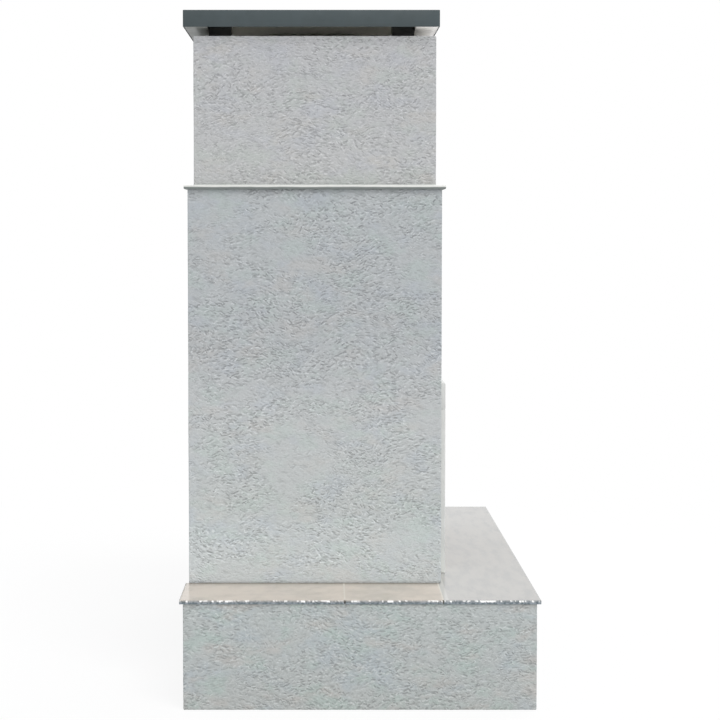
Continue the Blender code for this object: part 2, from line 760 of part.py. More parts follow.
def build_flue():
    half = FLUE_BORE / 2 + FLUE_WALL
    bore = FLUE_BORE / 2
    liner_z = (HOOD_TOP + LAYING_GAP, COLUMN_TOP + FLUE_ABOVE_CROWN)
    liner = block(
        "flue_liner",
        (-half, half),
        (BODY_MIDDLE_Y - half, BODY_MIDDLE_Y + half),
        liner_z,
        "clay",
    )
    bore_helper = helper_block(
        "flue_bore",
        (-bore, bore),
        (BODY_MIDDLE_Y - bore, BODY_MIDDLE_Y + bore),
        (liner_z[0] - CUT_OVERRUN, liner_z[1] + CUT_OVERRUN),
    )
    cut(liner, bore_helper)


def build_ledge():
    """Four mitred stone strips on top of the body, which the column stands on."""
    outer_half = BODY_WIDTH / 2 + LEDGE_OVERHANG
    outer_front = BODY_FRONT_Y - LEDGE_OVERHANG
    outer_rear = REAR_Y + LEDGE_OVERHANG
    strip = LEDGE_OVERHANG + COLUMN_INSET + RENDER_THICKNESS + BLOCK_THICKNESS
    corners = [
        Vector((-outer_half, outer_front, 0)),
        Vector((outer_half, outer_front, 0)),
        Vector((outer_half, outer_rear, 0)),
        Vector((-outer_half, outer_rear, 0)),
    ]
    inward = [Vector((1, 1, 0)), Vector((-1, 1, 0)), Vector((-1, -1, 0)), Vector((1, -1, 0))]
    names = ("front", "right", "rear", "left")
    bottom = BODY_TOP + LAYING_GAP
    for i, side in enumerate(names):
        j = (i + 1) % len(names)
        along = (corners[j] - corners[i]).normalized() * LAYING_GAP
        middle = (corners[i] + corners[j]) / 2
        outward = -(inward[i] + inward[j]).normalized()
        plan = [
            corners[i] + along,
            corners[j] - along,
            corners[j] + inward[j] * strip - along,
            corners[i] + inward[i] * strip + along,
        ]
        shape = bmesh.new()
        lower = [shape.verts.new(p - middle) for p in plan]
        raised = bmesh.ops.extrude_face_region(shape, geom=[shape.faces.new(lower)])["geom"]
        upper = [g for g in raised if isinstance(g, bmesh.types.BMVert)]
        rise = LEDGE_TOP - bottom
        bmesh.ops.translate(shape, vec=(0, 0, rise), verts=upper)
        exposed = [
            edge
            for edge in shape.edges
            if abs(edge.verts[0].co.z - edge.verts[1].co.z) < LEDGE_ARRIS / 2
            and all(abs(v.co.dot(outward)) < LEDGE_ARRIS / 2 for v in edge.verts)
        ]
        bmesh.ops.bevel(
            shape,
            geom=exposed,
            offset=LEDGE_ARRIS,
            segments=LEDGE_ARRIS_STEPS,
            profile=BEVEL_PROFILE_SHARE,
            affect="EDGES",
        )
        add_object(f"ledge_{side}", shape, middle + Vector((0, 0, bottom)), "stone")


def build_column():
    half = COLUMN_WIDTH / 2
    front_y = BODY_MIDDLE_Y - COLUMN_DEPTH / 2
    rear_y = BODY_MIDDLE_Y + COLUMN_DEPTH / 2
    block_half = half - RENDER_THICKNESS
    block_front = front_y + RENDER_THICKNESS
    block_rear = rear_y - RENDER_THICKNESS
    wall_z = (LEDGE_TOP + LAYING_GAP, CROWN_BOTTOM)
    four_walls("column", block_half, block_front, block_rear, wall_z)
    render_coat("column_render", half, front_y, rear_y, (LEDGE_TOP + LAYING_GAP, COLUMN_TOP))
    crown_z = (CROWN_BOTTOM + LAYING_GAP, COLUMN_TOP)
    crown = block(
        "crown_slab", (-block_half, block_half), (block_front, block_rear), crown_z, "concrete"
    )
    cut(crown, flue_passage("crown_flue_hole", crown_z))


def build_cap():
    """A folded sheet tray over a deck board, two rails and four legs."""
    half = CAP_WIDTH / 2
    front_y = CAP_MIDDLE_Y - CAP_DEPTH / 2
    rear_y = CAP_MIDDLE_Y + CAP_DEPTH / 2
    cover = block("cap_cover", (-half, half), (front_y, rear_y), (CAP_BOTTOM, CAP_TOP), "anthracite")
    corner = cover.modifiers.new("folded corners", "BEVEL")
    corner.width = CAP_CORNER_RADIUS
    corner.segments = 2
    corner.limit_method = "ANGLE"
    inner_half = half - CAP_SHEET
    inner_front = front_y + CAP_SHEET
    inner_rear = rear_y - CAP_SHEET
    cut(
        cover,
        helper_block(
            "cap_inside",
            (-inner_half, inner_half),
            (inner_front, inner_rear),
            (CAP_BOTTOM - CUT_OVERRUN, CAP_TOP - CAP_SHEET),
        ),
    )
    deck_half = inner_half - LAYING_GAP
    deck_y = (inner_front + LAYING_GAP, inner_rear - LAYING_GAP)
    deck_z = (CAP_DECK_BOTTOM, CAP_TOP - CAP_SHEET - LAYING_GAP)
    block("cap_deck", (-deck_half, deck_half), deck_y, deck_z, "concrete")
    rail_z = (CAP_BOTTOM + CAP_RAIL_RECESS, CAP_DECK_BOTTOM - LAYING_GAP)
    rail_reach = LEG_FROM_CAP_FRONT - CAP_RAIL_TO_LEG
    front_rail_y = (deck_y[0], front_y + rail_reach)
    rear_rail_y = (rear_y - rail_reach, deck_y[1])
    block("cap_rail_front", (-deck_half, deck_half), front_rail_y, rail_z, "soffit")
    block("cap_rail_rear", (-deck_half, deck_half), rear_rail_y, rail_z, "soffit")
    build_legs(half, front_y, rear_y)


def build_legs(half, front_y, rear_y):
    """Four lengths of square tube, each on its own foot plate."""
    reach_x = half - LEG_FROM_CAP_END - LEG_SIZE / 2
    near = front_y + LEG_FROM_CAP_FRONT + LEG_SIZE / 2
    far = rear_y - LEG_FROM_CAP_FRONT - LEG_SIZE / 2
    leg_z = (COLUMN_TOP + LAYING_GAP, CAP_DECK_BOTTOM - LAYING_GAP)
    for depth, y in (("front", near), ("rear", far)):
        for side, x in (("left", -reach_x), ("right", reach_x)):
            name = f"cap_leg_{depth}_{side}"
            tube = square(name, x, y, LEG_SIZE, leg_z, "black_steel")
            foot_z = (leg_z[0], leg_z[0] + LEG_FOOT_THICKNESS)
            foot = hide_helper(square(name + "_foot", x, y, LEG_FOOT, foot_z, "black_steel"))
            hollow_z = (foot_z[1], leg_z[1] + CUT_OVERRUN)
            hollow_size = LEG_SIZE - 2 * LEG_WALL
            hollow = hide_helper(square(name + "_hollow", x, y, hollow_size, hollow_z, "concrete"))
            unite(tube, foot)
            cut(tube, hollow)


def square(name, x, y, size, z_span, material):
    reach = size / 2
    return block(name, (x - reach, x + reach), (y - reach, y + reach), z_span, material)


def build_spark_arrestor():
    """A cage of bars round the flue outlet, between the crown and the cap's deck."""
    z_span = (COLUMN_TOP + LAYING_GAP, CAP_DECK_BOTTOM - LAYING_GAP)
    inner = ARRESTOR_SIZE - 2 * ARRESTOR_RING
    bottom_z = (z_span[0], z_span[0] + ARRESTOR_RING)
    top_z = (z_span[1] - ARRESTOR_RING, z_span[1])
    cage = square("spark_arrestor", 0, BODY_MIDDLE_Y, ARRESTOR_SIZE, bottom_z, "black_steel")
    top_ring = square("arrestor_top_ring", 0, BODY_MIDDLE_Y, ARRESTOR_SIZE, top_z, "black_steel")
    hollow_z = (z_span[0] - CUT_OVERRUN, z_span[1] + CUT_OVERRUN)
    hollow = square("arrestor_inside", 0, BODY_MIDDLE_Y, inner, hollow_z, "black_steel")
    bars = arrestor_bars(inner, (bottom_z[1] - ARRESTOR_BAR / 2, top_z[0] + ARRESTOR_BAR / 2))
    hide_helper(top_ring)
    hide_helper(hollow)
    unite(cage, top_ring)
    cut(cage, hollow)
    unite(cage, bars)


def arrestor_bars(inner, z_span):
    """All the cage's upright bars as one hidden helper."""
    shape = bmesh.new()
    reach = inner / 2 + ARRESTOR_RING / 2
    height = z_span[1] - z_span[0]
    pitch = 2 * reach / (ARRESTOR_BARS_PER_SIDE - 1)
    places = set()
    for i in range(ARRESTOR_BARS_PER_SIDE):
        along = -reach + i * pitch
        if 0 < i < ARRESTOR_BARS_PER_SIDE - 1:
            places |= {(along, -reach), (along, reach), (-reach, along), (reach, along)}
    places |= {(sx * reach, sy * reach) for sx in (-1, 1) for sy in (-1, 1)}
    for x, y in sorted(places):
        made = bmesh.ops.create_cube(shape, size=1)["verts"]
        bmesh.ops.scale(shape, vec=(ARRESTOR_BAR, ARRESTOR_BAR, height), verts=made)
        bmesh.ops.translate(shape, vec=(x, y, height / 2), verts=made)
    place = (0, BODY_MIDDLE_Y, z_span[0])
    return hide_helper(add_object("arrestor_bars", shape, place, "black_steel"))


def build_grate():
    """Bars front to back on two cross bars and four legs. Each bar turns up at the
    front, to hold the logs."""
    rear_y = FIREBOX_REAR_Y - GRATE_FROM_BACK
    front_y = rear_y - GRATE_DEPTH
    foot_z = HEARTH_TOP + LAYING_GAP
    bar_z = (foot_z + GRATE_CLEAR_HEIGHT, foot_z + GRATE_CLEAR_HEIGHT + GRATE_BAR)
    reach = GRATE_WIDTH / 2
    front_cross = (front_y + GRATE_LEG_INSET, front_y + GRATE_LEG_INSET + GRATE_BAR)
    rear_cross = (rear_y - GRATE_LEG_INSET - GRATE_BAR, rear_y - GRATE_LEG_INSET)
    cross_z = (bar_z[0] - GRATE_BAR, bar_z[0] + GRATE_SINK)
    grate = block("log_grate", (-reach, reach), front_cross, cross_z, "cast_iron")
    rear_bar = helper_block("grate_rear_cross", (-reach, reach), rear_cross, cross_z, "cast_iron")
    unite(grate, rear_bar)
    pitch = (GRATE_WIDTH - GRATE_BAR) / (GRATE_BAR_COUNT - 1)
    for i in range(GRATE_BAR_COUNT):
        x = -reach + i * pitch
        outline = (
            (front_y, bar_z[0]),
            (rear_y, bar_z[0]),
            (rear_y, bar_z[1]),
            (front_y + GRATE_BAR, bar_z[1]),
            (front_y + GRATE_BAR, bar_z[1] + GRATE_FRONT_UPSTAND),
            (front_y, bar_z[1] + GRATE_FRONT_UPSTAND),
        )
        bar = prism(
            f"grate_bar_{i + 1}",
            outline,
            lambda y, right=x + GRATE_BAR: right,
            "cast_iron",
            lambda y, left=x: left,
        )
        unite(grate, hide_helper(bar))
    for depth, y_span in (("front", front_cross), ("rear", rear_cross)):
        for side, x in (("left", -reach), ("right", reach - GRATE_BAR)):
            leg = helper_block(
                f"grate_leg_{depth}_{side}",
                (x, x + GRATE_BAR),
                y_span,
                (foot_z, bar_z[0] - GRATE_BAR + GRATE_SINK),
                "cast_iron",
            )
            unite(grate, leg)


def build_ash_pan():
    """A shallow tray that slides out from under the grate by its bail handle."""
    rear_y = FIREBOX_REAR_Y - GRATE_FROM_BACK
    front_y = rear_y - PAN_DEPTH
    half = PAN_WIDTH / 2
    foot_z = HEARTH_TOP + LAYING_GAP
    top_z = foot_z + PAN_HEIGHT
    pan = block("ash_pan", (-half, half), (front_y, rear_y), (foot_z, top_z), "steel")
    inside = helper_block(
        "pan_inside",
        (-half + PAN_WALL, half - PAN_WALL),
        (front_y + PAN_WALL, rear_y - PAN_WALL),
        (foot_z + PAN_WALL, top_z + CUT_OVERRUN),
    )
    grip = PAN_HANDLE_WIDTH / 2
    middle_z = foot_z + PAN_HEIGHT / 2
    grip_z = (middle_z - PAN_HANDLE_ROD / 2, middle_z + PAN_HANDLE_ROD / 2)
    handle = helper_block(
        "pan_handle",
        (-grip, grip),
        (front_y - PAN_HANDLE_REACH, front_y + PAN_WALL / 2),
        grip_z,
        "steel",
    )
    finger_room = helper_block(
        "pan_finger_room",
        (-grip + PAN_HANDLE_ROD, grip - PAN_HANDLE_ROD),
        (front_y - PAN_HANDLE_REACH + PAN_HANDLE_ROD, front_y),
        (grip_z[0] - CUT_OVERRUN, grip_z[1] + CUT_OVERRUN),
    )
    cut(pan, inside)
    unite(pan, handle)
    cut(pan, finger_room)


def build_fireplace():
    clear_scene()
    build_plinth()
    build_hearth_slabs()
    build_firebox()
    build_body()
    build_surround()
    build_throat()
    build_damper()
    build_smoke_shelf()
    build_hood()
    build_flue()
    build_ledge()
    build_column()
    build_cap()
    build_spark_arrestor()
    build_grate()
    build_ash_pan()


build_fireplace()
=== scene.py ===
# %% [markdown]
# # An outdoor fireplace on a raised hearth
# The real object is a mason's work: blocks, a thin coat of trowelled render, stone slabs,
# a brick firebox and a metal cap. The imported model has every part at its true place, so
# this script only makes what the eye meets: the render's relief, the chipped stone edges,
# the bricks, and a finish for each material. We load that model first and never move it.

# %% Load the fixed frame
from math import cos, radians, sin, sqrt

import bmesh
import bpy
from bmesh import ops
from bmesh.types import BMEdge, BMVert
from mathutils import Matrix, Vector, noise


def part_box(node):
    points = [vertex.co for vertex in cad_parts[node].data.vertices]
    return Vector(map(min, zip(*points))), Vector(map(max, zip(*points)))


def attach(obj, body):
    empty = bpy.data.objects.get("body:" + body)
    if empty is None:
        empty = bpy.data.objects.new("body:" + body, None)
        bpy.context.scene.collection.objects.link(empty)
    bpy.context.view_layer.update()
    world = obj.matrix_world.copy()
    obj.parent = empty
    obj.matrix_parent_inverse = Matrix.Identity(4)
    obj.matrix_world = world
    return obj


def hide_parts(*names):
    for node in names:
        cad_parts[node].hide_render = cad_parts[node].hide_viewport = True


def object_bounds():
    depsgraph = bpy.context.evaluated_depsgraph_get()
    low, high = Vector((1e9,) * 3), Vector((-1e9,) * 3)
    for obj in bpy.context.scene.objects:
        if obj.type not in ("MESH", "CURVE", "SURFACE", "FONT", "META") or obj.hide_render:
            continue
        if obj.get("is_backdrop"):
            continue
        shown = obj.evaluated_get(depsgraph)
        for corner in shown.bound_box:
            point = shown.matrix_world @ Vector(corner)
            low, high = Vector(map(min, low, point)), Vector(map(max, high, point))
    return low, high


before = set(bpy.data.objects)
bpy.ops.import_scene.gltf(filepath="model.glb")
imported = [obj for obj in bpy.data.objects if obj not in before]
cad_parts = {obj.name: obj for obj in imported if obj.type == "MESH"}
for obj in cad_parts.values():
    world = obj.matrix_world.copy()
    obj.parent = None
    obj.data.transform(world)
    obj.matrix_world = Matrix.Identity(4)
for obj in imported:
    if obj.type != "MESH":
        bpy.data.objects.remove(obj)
cad_low, cad_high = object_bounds()
print("size in mm:", [round(1000 * (b - a)) for a, b in zip(cad_low, cad_high)])

# %% [markdown]
# ## The camera
# The photograph shows the fireplace's left side, from standing eye height and some way
# off: the far corners are drawn only a little smaller, so the lens is long. The picture's
# middle isn't where the lens points. A small shift gives that and keeps the walls upright,
# where tilting the camera further would make them lean.

# %% Camera
def new_object(name, data):
    made = bpy.data.objects.new(name, data)
    bpy.context.scene.collection.objects.link(made)
    return made


EYE = Vector((-6.779, 0.1275, 1.6492))
TILT_DOWN_DEGREES = 2.77
camera_data = bpy.data.cameras.new("photo_view")
camera_data.lens = 85
camera_data.sensor_width = 36
camera_data.shift_x = 0.0516
camera_data.shift_y = -0.0640
camera = new_object("photo_view", camera_data)
camera.location = EYE
camera.rotation_euler = (radians(90 - TILT_DOWN_DEGREES), 0, radians(-90))
bpy.context.scene.camera = camera
print("camera is", round(EYE.length, 2), "m from the fireplace's foot")

# %% [markdown]
# ## Words for building a material
# A finish is a chain of small steps: take the point, ask a noise for a number there, turn
# that number into a share, and mix two colours by it. Each step is a node. A Value stands
# for what a node gives, so that a sum like hollow * rough adds a Math node, and a finish
# below reads like a recipe. Every pattern is read in Object coordinates, in metres, so
# its grain has a real size on every piece.

# %% Nodes and their values
def plug(value, socket):
    """A Value is linked, and anything else becomes the input's own value."""
    if isinstance(value, Value):
        socket.id_data.links.new(value.socket, socket)
    else:
        socket.default_value = (*value, 1.0) if socket.type == "RGBA" else value


def node(tree, kind, output, inputs=(), **settings):
    """Adds a node to a tree and returns one of its outputs. The inputs are given by name,
    or in the node's own order."""
    made = tree.nodes.new("ShaderNode" + kind)
    for key, value in settings.items():
        setattr(made, key, value)
    for key, value in inputs.items() if isinstance(inputs, dict) else enumerate(inputs):
        plug(value, made.inputs[key])
    return Value(made.outputs[output])


class Value:
    """A number, a vector or a colour on its way through a finish. What is done with it
    adds a node."""

    def __init__(self, socket):
        self.socket = socket
        self.tree = socket.id_data

    def math(self, operation, other=0.0):
        return node(self.tree, "Math", 0, (self, other), operation=operation)

    def __add__(self, other):
        return self.math("ADD", other)

    def __sub__(self, other):
        return self.math("SUBTRACT", other)

    def __mul__(self, other):
        return self.math("MULTIPLY", other)

    def size(self):
        return self.math("ABSOLUTE")

    def share(self, low, high, to_low=0.0, to_high=1.0):
        """Turns the number into a smooth share: to_low up to low, to_high from high on."""
        numbers = (self, low, high, to_low, to_high)
        return node(self.tree, "MapRange", 0, numbers, interpolation_type="SMOOTHSTEP")

    def blend(self, first, second):
        """Mixes two colours. The number is the share of the second."""
        return node(self.tree, "Mix", 2, {0: self, 6: first, 7: second}, data_type="RGBA")

    def vector(self, operation, other):
        return node(self.tree, "VectorMath", 0, (self, other), operation=operation)

    def turned(self, angle):
        inputs = {"Vector": self, "Angle": angle}
        return node(self.tree, "VectorRotate", 0, inputs, rotation_type="Z_AXIS")

    def part(self, axis):
        """One of a vector's three numbers, or of a colour's: then X is its red."""
        return node(self.tree, "SeparateXYZ", axis, (self,))

    def sibling(self, output):
        """Another output of the node that this one comes from."""
        return Value(self.socket.node.outputs[output])


# %% A material in the making
class Finish:
    """A material in the making, and the shader that everything in it feeds."""

    def __init__(self, name, roughness=0.8, metallic=0.0, specular=0.5):
        self.material = bpy.data.materials.new(name)
        self.material.use_nodes = True
        self.tree = self.material.node_tree
        self.shader = self.tree.nodes["Principled BSDF"]
        self.give("Roughness", roughness)
        self.give("Metallic", metallic)
        self.give("Specular IOR Level", specular)

    def give(self, name, value):
        plug(value, self.shader.inputs[name])

    def place(self, stretch=(1, 1, 1), shift=(0, 0, 0)):
        """Object coordinates, stretched: a larger number packs the pattern closer."""
        point = node(self.tree, "TexCoord", "Object")
        return node(self.tree, "Mapping", 0, (point, shift, (0, 0, 0), stretch))

    def cloud(self, scale, detail=2.0, roughness=0.5, stretch=(1, 1, 1), shift=(0, 0, 0)):
        """A soft noise between 0 and 1."""
        inputs = {"Vector": self.place(stretch, shift), "Scale": scale, "Detail": detail}
        return node(self.tree, "TexNoise", "Fac", {**inputs, "Roughness": roughness})

    def attribute(self, name):
        return node(self.tree, "Attribute", "Fac", attribute_name=name)

    def bump(self, height, distance, strength=1.0):
        inputs = {"Height": height, "Distance": distance, "Strength": strength}
        self.give("Normal", node(self.tree, "Bump", 0, inputs))


# %% Linear colours
def srgb(*screen):
    """A colour as picked from a screen, 0 to 255, turned into the linear one that light
    is reckoned in."""
    parts = [number / 255 for number in screen]
    return tuple(p / 12.92 if p <= 0.04045 else ((p + 0.055) / 1.055) ** 2.4 for p in parts)


print("a mid grey, linear:", [round(c, 3) for c in srgb(128, 128, 128)])

# %% [markdown]
# ## Putting a piece into the scene
# A bmesh is Blender's workbench: shapes are cut there and only then become an object. The
# helper below does the last steps for every piece. The object stays at the origin, with
# its place in its mesh, and it is tied to the body that it moves with.


# %% Piece helper
def mesh_object(name, shape, material):
    mesh = bpy.data.meshes.new(name)
    shape.normal_update()
    shape.to_mesh(mesh)
    shape.free()
    mesh.materials.append(material)
    return new_object(name, mesh)


def add_piece(name, shape, material, stands_for=(), body="masonry"):
    piece = mesh_object(name, shape, material)
    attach(piece, body)
    if stands_for:
        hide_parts(*stands_for)


def box_shape(shape, low, high):
    """Adds a box between two corners to a bmesh and returns its vertices."""
    made = ops.create_cube(shape, size=1)["verts"]
    size = Vector(high) - Vector(low)
    ops.scale(shape, vec=size, verts=made)
    ops.translate(shape, vec=(Vector(high) + Vector(low)) / 2, verts=made)
    return made


def round_edges(shape, edges, width, steps=2, clamp=False):
    ops.bevel(
        shape, geom=edges, offset=width, segments=steps, profile=0.5, affect="EDGES",
        material=-1, clamp_overlap=clamp,
    )


def outward_normals(shape):
    ops.recalc_face_normals(shape, faces=shape.faces)


def smooth(shape):
    for face in shape.faces:
        face.smooth = True


def edges_among(shape, verts):
    return [e for e in shape.edges if e.verts[0] in verts and e.verts[1] in verts]


# %% [markdown]
# ## Render: its relief
# As the float is drawn along the trowelled render, it leaves a shallow waviness, and now
# and then a grain ploughs a drag half as long as a finger. Those two are real relief,
# given to the wall's points. The marks between them are finer than the wall's grid, so
# the material makes them later. Positions are read in space, so two walls agree along the
# corner where they meet.

# %% Relief of the render
TROWEL_WAVE = 0.0012
RIPPLE = 0.0005
DRAG_DEPTH = 0.0009
DRAG_LENGTH = 0.020
DRAG_WIDTH = 0.0042
DRAG_CELL = (0.050, 0.026)


def drag_at(point):
    """How deep the nearest ploughed drag is at a point, from 0 to 1. Every cell of a
    grid on the wall holds at most one drag, at a random place and slant."""
    along, z = point.x + point.y, point.z
    column, row = round(along / DRAG_CELL[0]), round(z / DRAG_CELL[1])
    deepest = 0.0
    for i in (column - 1, column, column + 1):
        for j in (row - 1, row, row + 1):
            chance = noise.cell_vector(Vector((i + 0.5, j + 0.5, 7.5)))
            if chance.z < 0.1:
                continue
            x = along - (i + 0.45 * chance.x) * DRAG_CELL[0]
            y = z - (j + 0.45 * chance.y) * DRAG_CELL[1]
            slant = 0.9 * (chance.x + chance.y) / 2
            a = x * cos(slant) + y * sin(slant)
            b = y * cos(slant) - x * sin(slant) + 4.0 * a * a * chance.y
            inside = max(0.0, 1 - (a / DRAG_LENGTH) ** 2 - (b / DRAG_WIDTH) ** 2)
            deepest = max(deepest, inside * chance.z)
    return deepest


def relief(point):
    """Returns how far the face lies under the coat's outermost skin, and a tone from -1 in a drag
    to 1 on a ripple's crest, by which the finish paints shade into the drags."""
    ripple = noise.noise(Vector((point.x * 30, point.y * 30, point.z * 66)))
    drag = drag_at(point)
    wave = 0.5 + 0.5 * noise.noise(Vector((point.x * 4, point.y * 4, point.z * 6)))
    depth = RIPPLE * (0.5 - 0.5 * ripple) + DRAG_DEPTH * drag + TROWEL_WAVE * wave
    return depth, ripple * 0.5 - drag


print("relief at a sample point:", relief(Vector((-0.7, 0.1, 1.0))))

# %% [markdown]
# ## Render: the panels
# A wall of render is a fine grid, with a point every few millimetres so that the grooves
# are real. Each wall is a panel of its own, mitred at the corners like a picture frame.
# The corner is a small round arris, and a panel starts half way round it, so that two
# panels share the same points there. Behind, the panel is closed with a flat back.

# %% Grid lines of a wall
CORNER_RADIUS = 0.004
CORNER_STEPS = 3
EDGE_EASE = 0.0012
FINE_CELL = 0.0042
CELL = 0.0055
COAT_DEPTH = 0.0117
SIDES = ("front", "right", "rear", "left")


def spaced(cell, *marks):
    """Even steps through all the marks, each about one cell long."""
    steps = []
    for start, end in zip(marks, marks[1:]):
        count = max(1, round((end - start) / cell))
        steps += [start + (end - start) * i / count for i in range(count)]
    return [*steps, marks[-1]]


def stations_along(length, cell, breaks=()):
    """(distance along the wall, push inwards, lean towards the corner) per grid line."""
    corner = []
    for step in range(CORNER_STEPS):
        angle = radians(45 + 45 * step / CORNER_STEPS)
        push = CORNER_RADIUS * (1 - sin(angle))
        corner.append((CORNER_RADIUS * (1 - cos(angle)), push, -cos(angle)))
    middle = spaced(cell, CORNER_RADIUS, *breaks, length - CORNER_RADIUS)
    mirrored = [(length - s, push, -lean) for s, push, lean in reversed(corner)]
    return corner + [(s, 0.0, 0.0) for s in middle] + mirrored


def wall_frame(low, high, side):
    """The outer corner that a side starts from, its direction, the way in, its length."""
    turn = SIDES.index(side)
    x, y = (low.x, high.x, high.x, low.x)[turn], (low.y, low.y, high.y, high.y)[turn]
    along = Vector(((1, 0), (0, 1), (-1, 0), (0, -1))[turn] + (0,))
    length = (high.x - low.x, high.y - low.y)[turn % 2]
    return Vector((x, y, 0)), along, Vector((-along.y, along.x, 0)), length


# %% Panel maker
def render_panel(part, side, material, heights=None, breaks=(), keep=None):
    """Makes one wall of a part's coat. heights and breaks say where grid lines have to
    lie, up the wall and along it, and keep(s, z) says which cells stay."""
    node_name = f"{part}_render"
    low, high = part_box(node_name)
    corner, along, inward, length = wall_frame(low, high, side)
    cell = FINE_CELL if side == "left" else CELL
    levels = spaced(cell, *(heights or (low.z, high.z)))
    stations = stations_along(length, cell, breaks)
    shape = bmesh.new()
    across, up = len(stations) - 1, len(levels) - 1
    ops.create_grid(shape, x_segments=across, y_segments=up, size=0.5)
    tone = shape.verts.layers.float.new("tone")
    marks = shape.verts.layers.int
    column, row = marks.new("column"), marks.new("row")
    for vert in shape.verts:
        vert[column] = round((vert.co.x + 0.5) * across)
        vert[row] = round((vert.co.y + 0.5) * up)
    gone = []
    for face in shape.faces if keep else ():
        i = min(v[column] for v in face.verts)
        j = min(v[row] for v in face.verts)
        s = (stations[i][0] + stations[i + 1][0]) / 2
        if not keep(s, (levels[j] + levels[j + 1]) / 2):
            gone.append(face)
    ops.delete(shape, geom=gone, context="FACES")
    smooth(shape)
    for vert in shape.verts:
        s, push, lean = stations[vert[column]]
        outward = -inward * sqrt(1 - lean * lean) + along * lean
        skin = corner + along * s + inward * push + Vector((0, 0, levels[vert[row]]))
        under, vert[tone] = relief(skin)
        vert.co = skin - outward * under
    rim = [edge for edge in shape.edges if edge.is_boundary]
    for vert in {v for edge in rim for v in edge.verts}:
        if vert[row] in (0, up):
            vert.co += inward * EDGE_EASE
    grown = ops.extrude_edge_only(shape, edges=rim)["geom"]
    for edge in rim:
        edge.smooth = False
    fresh = [g for g in grown if isinstance(g, BMVert)]
    for vert in fresh:
        s = min(max(stations[vert[column]][0], COAT_DEPTH), length - COAT_DEPTH)
        vert.co = corner + along * s + inward * COAT_DEPTH + Vector((0, 0, levels[vert[row]]))
    ops.remove_doubles(shape, verts=fresh, dist=0.00001)
    back = [edge for edge in shape.edges if edge.is_boundary]
    ops.triangle_fill(shape, edges=back, use_beauty=False, use_dissolve=False)
    marks.remove(marks["column"])
    marks.remove(marks["row"])
    outward_normals(shape)
    name = f"{node_name}_{side}"
    print(name, len(shape.faces), "faces")
    add_piece(name, shape, material, [node_name])


# %% [markdown]
# ## Render: its finish
# The small marks are thousands of short strokes, mostly level, each with a hollow and a lip beside
# it: the hollow is painted dark as shade and the lip is painted pale as a highlight, and both are
# bumped as well. A Voronoi texture scatters points, and tells for every spot of the wall which
# point is nearest. Seen from that point, turned by a random angle, a stroke is simply "close in
# one direction, closer in the other". Two such layers cross. A slow noise says where the wall was
# floated smooth. The drags and the low spots of the fine grain get painted shade too. Very faint
# clouds of other greys come last, and then painted light and shade by height change the colour
# from the wall's foot to its top.


# %% Strokes
def wall_point(finish, cell, seed, turn):
    """A flat coordinate for walls, in cells: the way along the wall and the height. It is
    turned and gently bent, so that the cells never line up with the wall."""
    point = finish.place()
    flat = [point.part("X") + point.part("Y"), point.part("Z")]
    for scale, reach in ((2.5, 0.14), (30, 0.012)):
        for axis in (0, 1):
            bend = finish.cloud(scale, 1, shift=(seed, 2 * axis, 0))
            flat[axis] = flat[axis] + (bend - 0.5) * reach
    turned = node(finish.tree, "CombineXYZ", 0, flat).turned(turn)
    cells = (1 / cell[0], 1 / cell[1], 1.0)
    return node(finish.tree, "Mapping", 0, (turned, (seed, seed, 0), (0, 0, 0), cells))


def strokes(finish, cell, length, width, seed, turn, swing=1.0):
    """Two shares: one for each stroke's hollow, which the finish paints dark as shade, and one for
    its lip, which it paints pale as a highlight. Both also shape the bump.
    """
    where = wall_point(finish, cell, seed, turn)
    inputs = {"Vector": where, "Scale": 1.0}
    near = node(finish.tree, "TexVoronoi", "Position", inputs, voronoi_dimensions="2D")
    chance = near.sibling("Color")
    metres = where.vector("SUBTRACT", near).vector("MULTIPLY", (*cell, 1.0))
    lean = (finish.cloud(5, 1, shift=(seed, 4, 2)) - 0.5) * 1.2
    away = metres.turned((chance.part("X") - 0.5) * swing + lean - turn)
    along = away.part("X").size().share(0.5 * length, length, 1.0, 0.0)
    hollow = away.part("Y").size().share(0.3 * width, width, 1.0, 0.0)
    lip = (away.part("Y") + 1.9 * width).size().share(0.3 * width, width, 1.0, 0.0)
    depth = chance.part("Y").math("POWER", 1.6)
    height = chance.part("Z").math("POWER", 1.2)
    return hollow * along * depth, lip * along * height


# %% Painted light by height
STROKE_SHADE = 0.76
STROKE_HIGHLIGHT = 0.96
DRAG_SHADE = 0.30
GRAIN_PIT_SHADE = 0.20
# Each cloud's scale, its stretch, its shift, and where its share begins.
CLOUDS = (
    (5.5, (1, 1, 1.7), (0, 0, 0), 0.46),
    (7, (1, 1, 1.6), (3, 7, 1), 0.46),
    (6, (1, 1, 2.0), (11, 2, 5), 0.50),
)


def painted_light_by_height(finish, colour, painted_light_stops):
    """Paints light and shade by height: scales a colour by factors that are given at a few
    heights. A stop is a height and three factors, or one for all three."""
    low, high = painted_light_stops[0][0], painted_light_stops[-1][0]
    along = (finish.place().part("Z") - low).math("DIVIDE", high - low)
    ramp = node(finish.tree, "ValToRGB", "Color", (along,))
    elements = ramp.socket.node.color_ramp.elements
    for z, *factors in painted_light_stops:
        if z in (low, high):
            stop = elements[0 if z == low else -1]
        else:
            stop = elements.new((z - low) / (high - low))
        stop.color = (*(factors if len(factors) > 1 else 3 * factors), 1.0)
    return colour.vector("MULTIPLY", ramp)


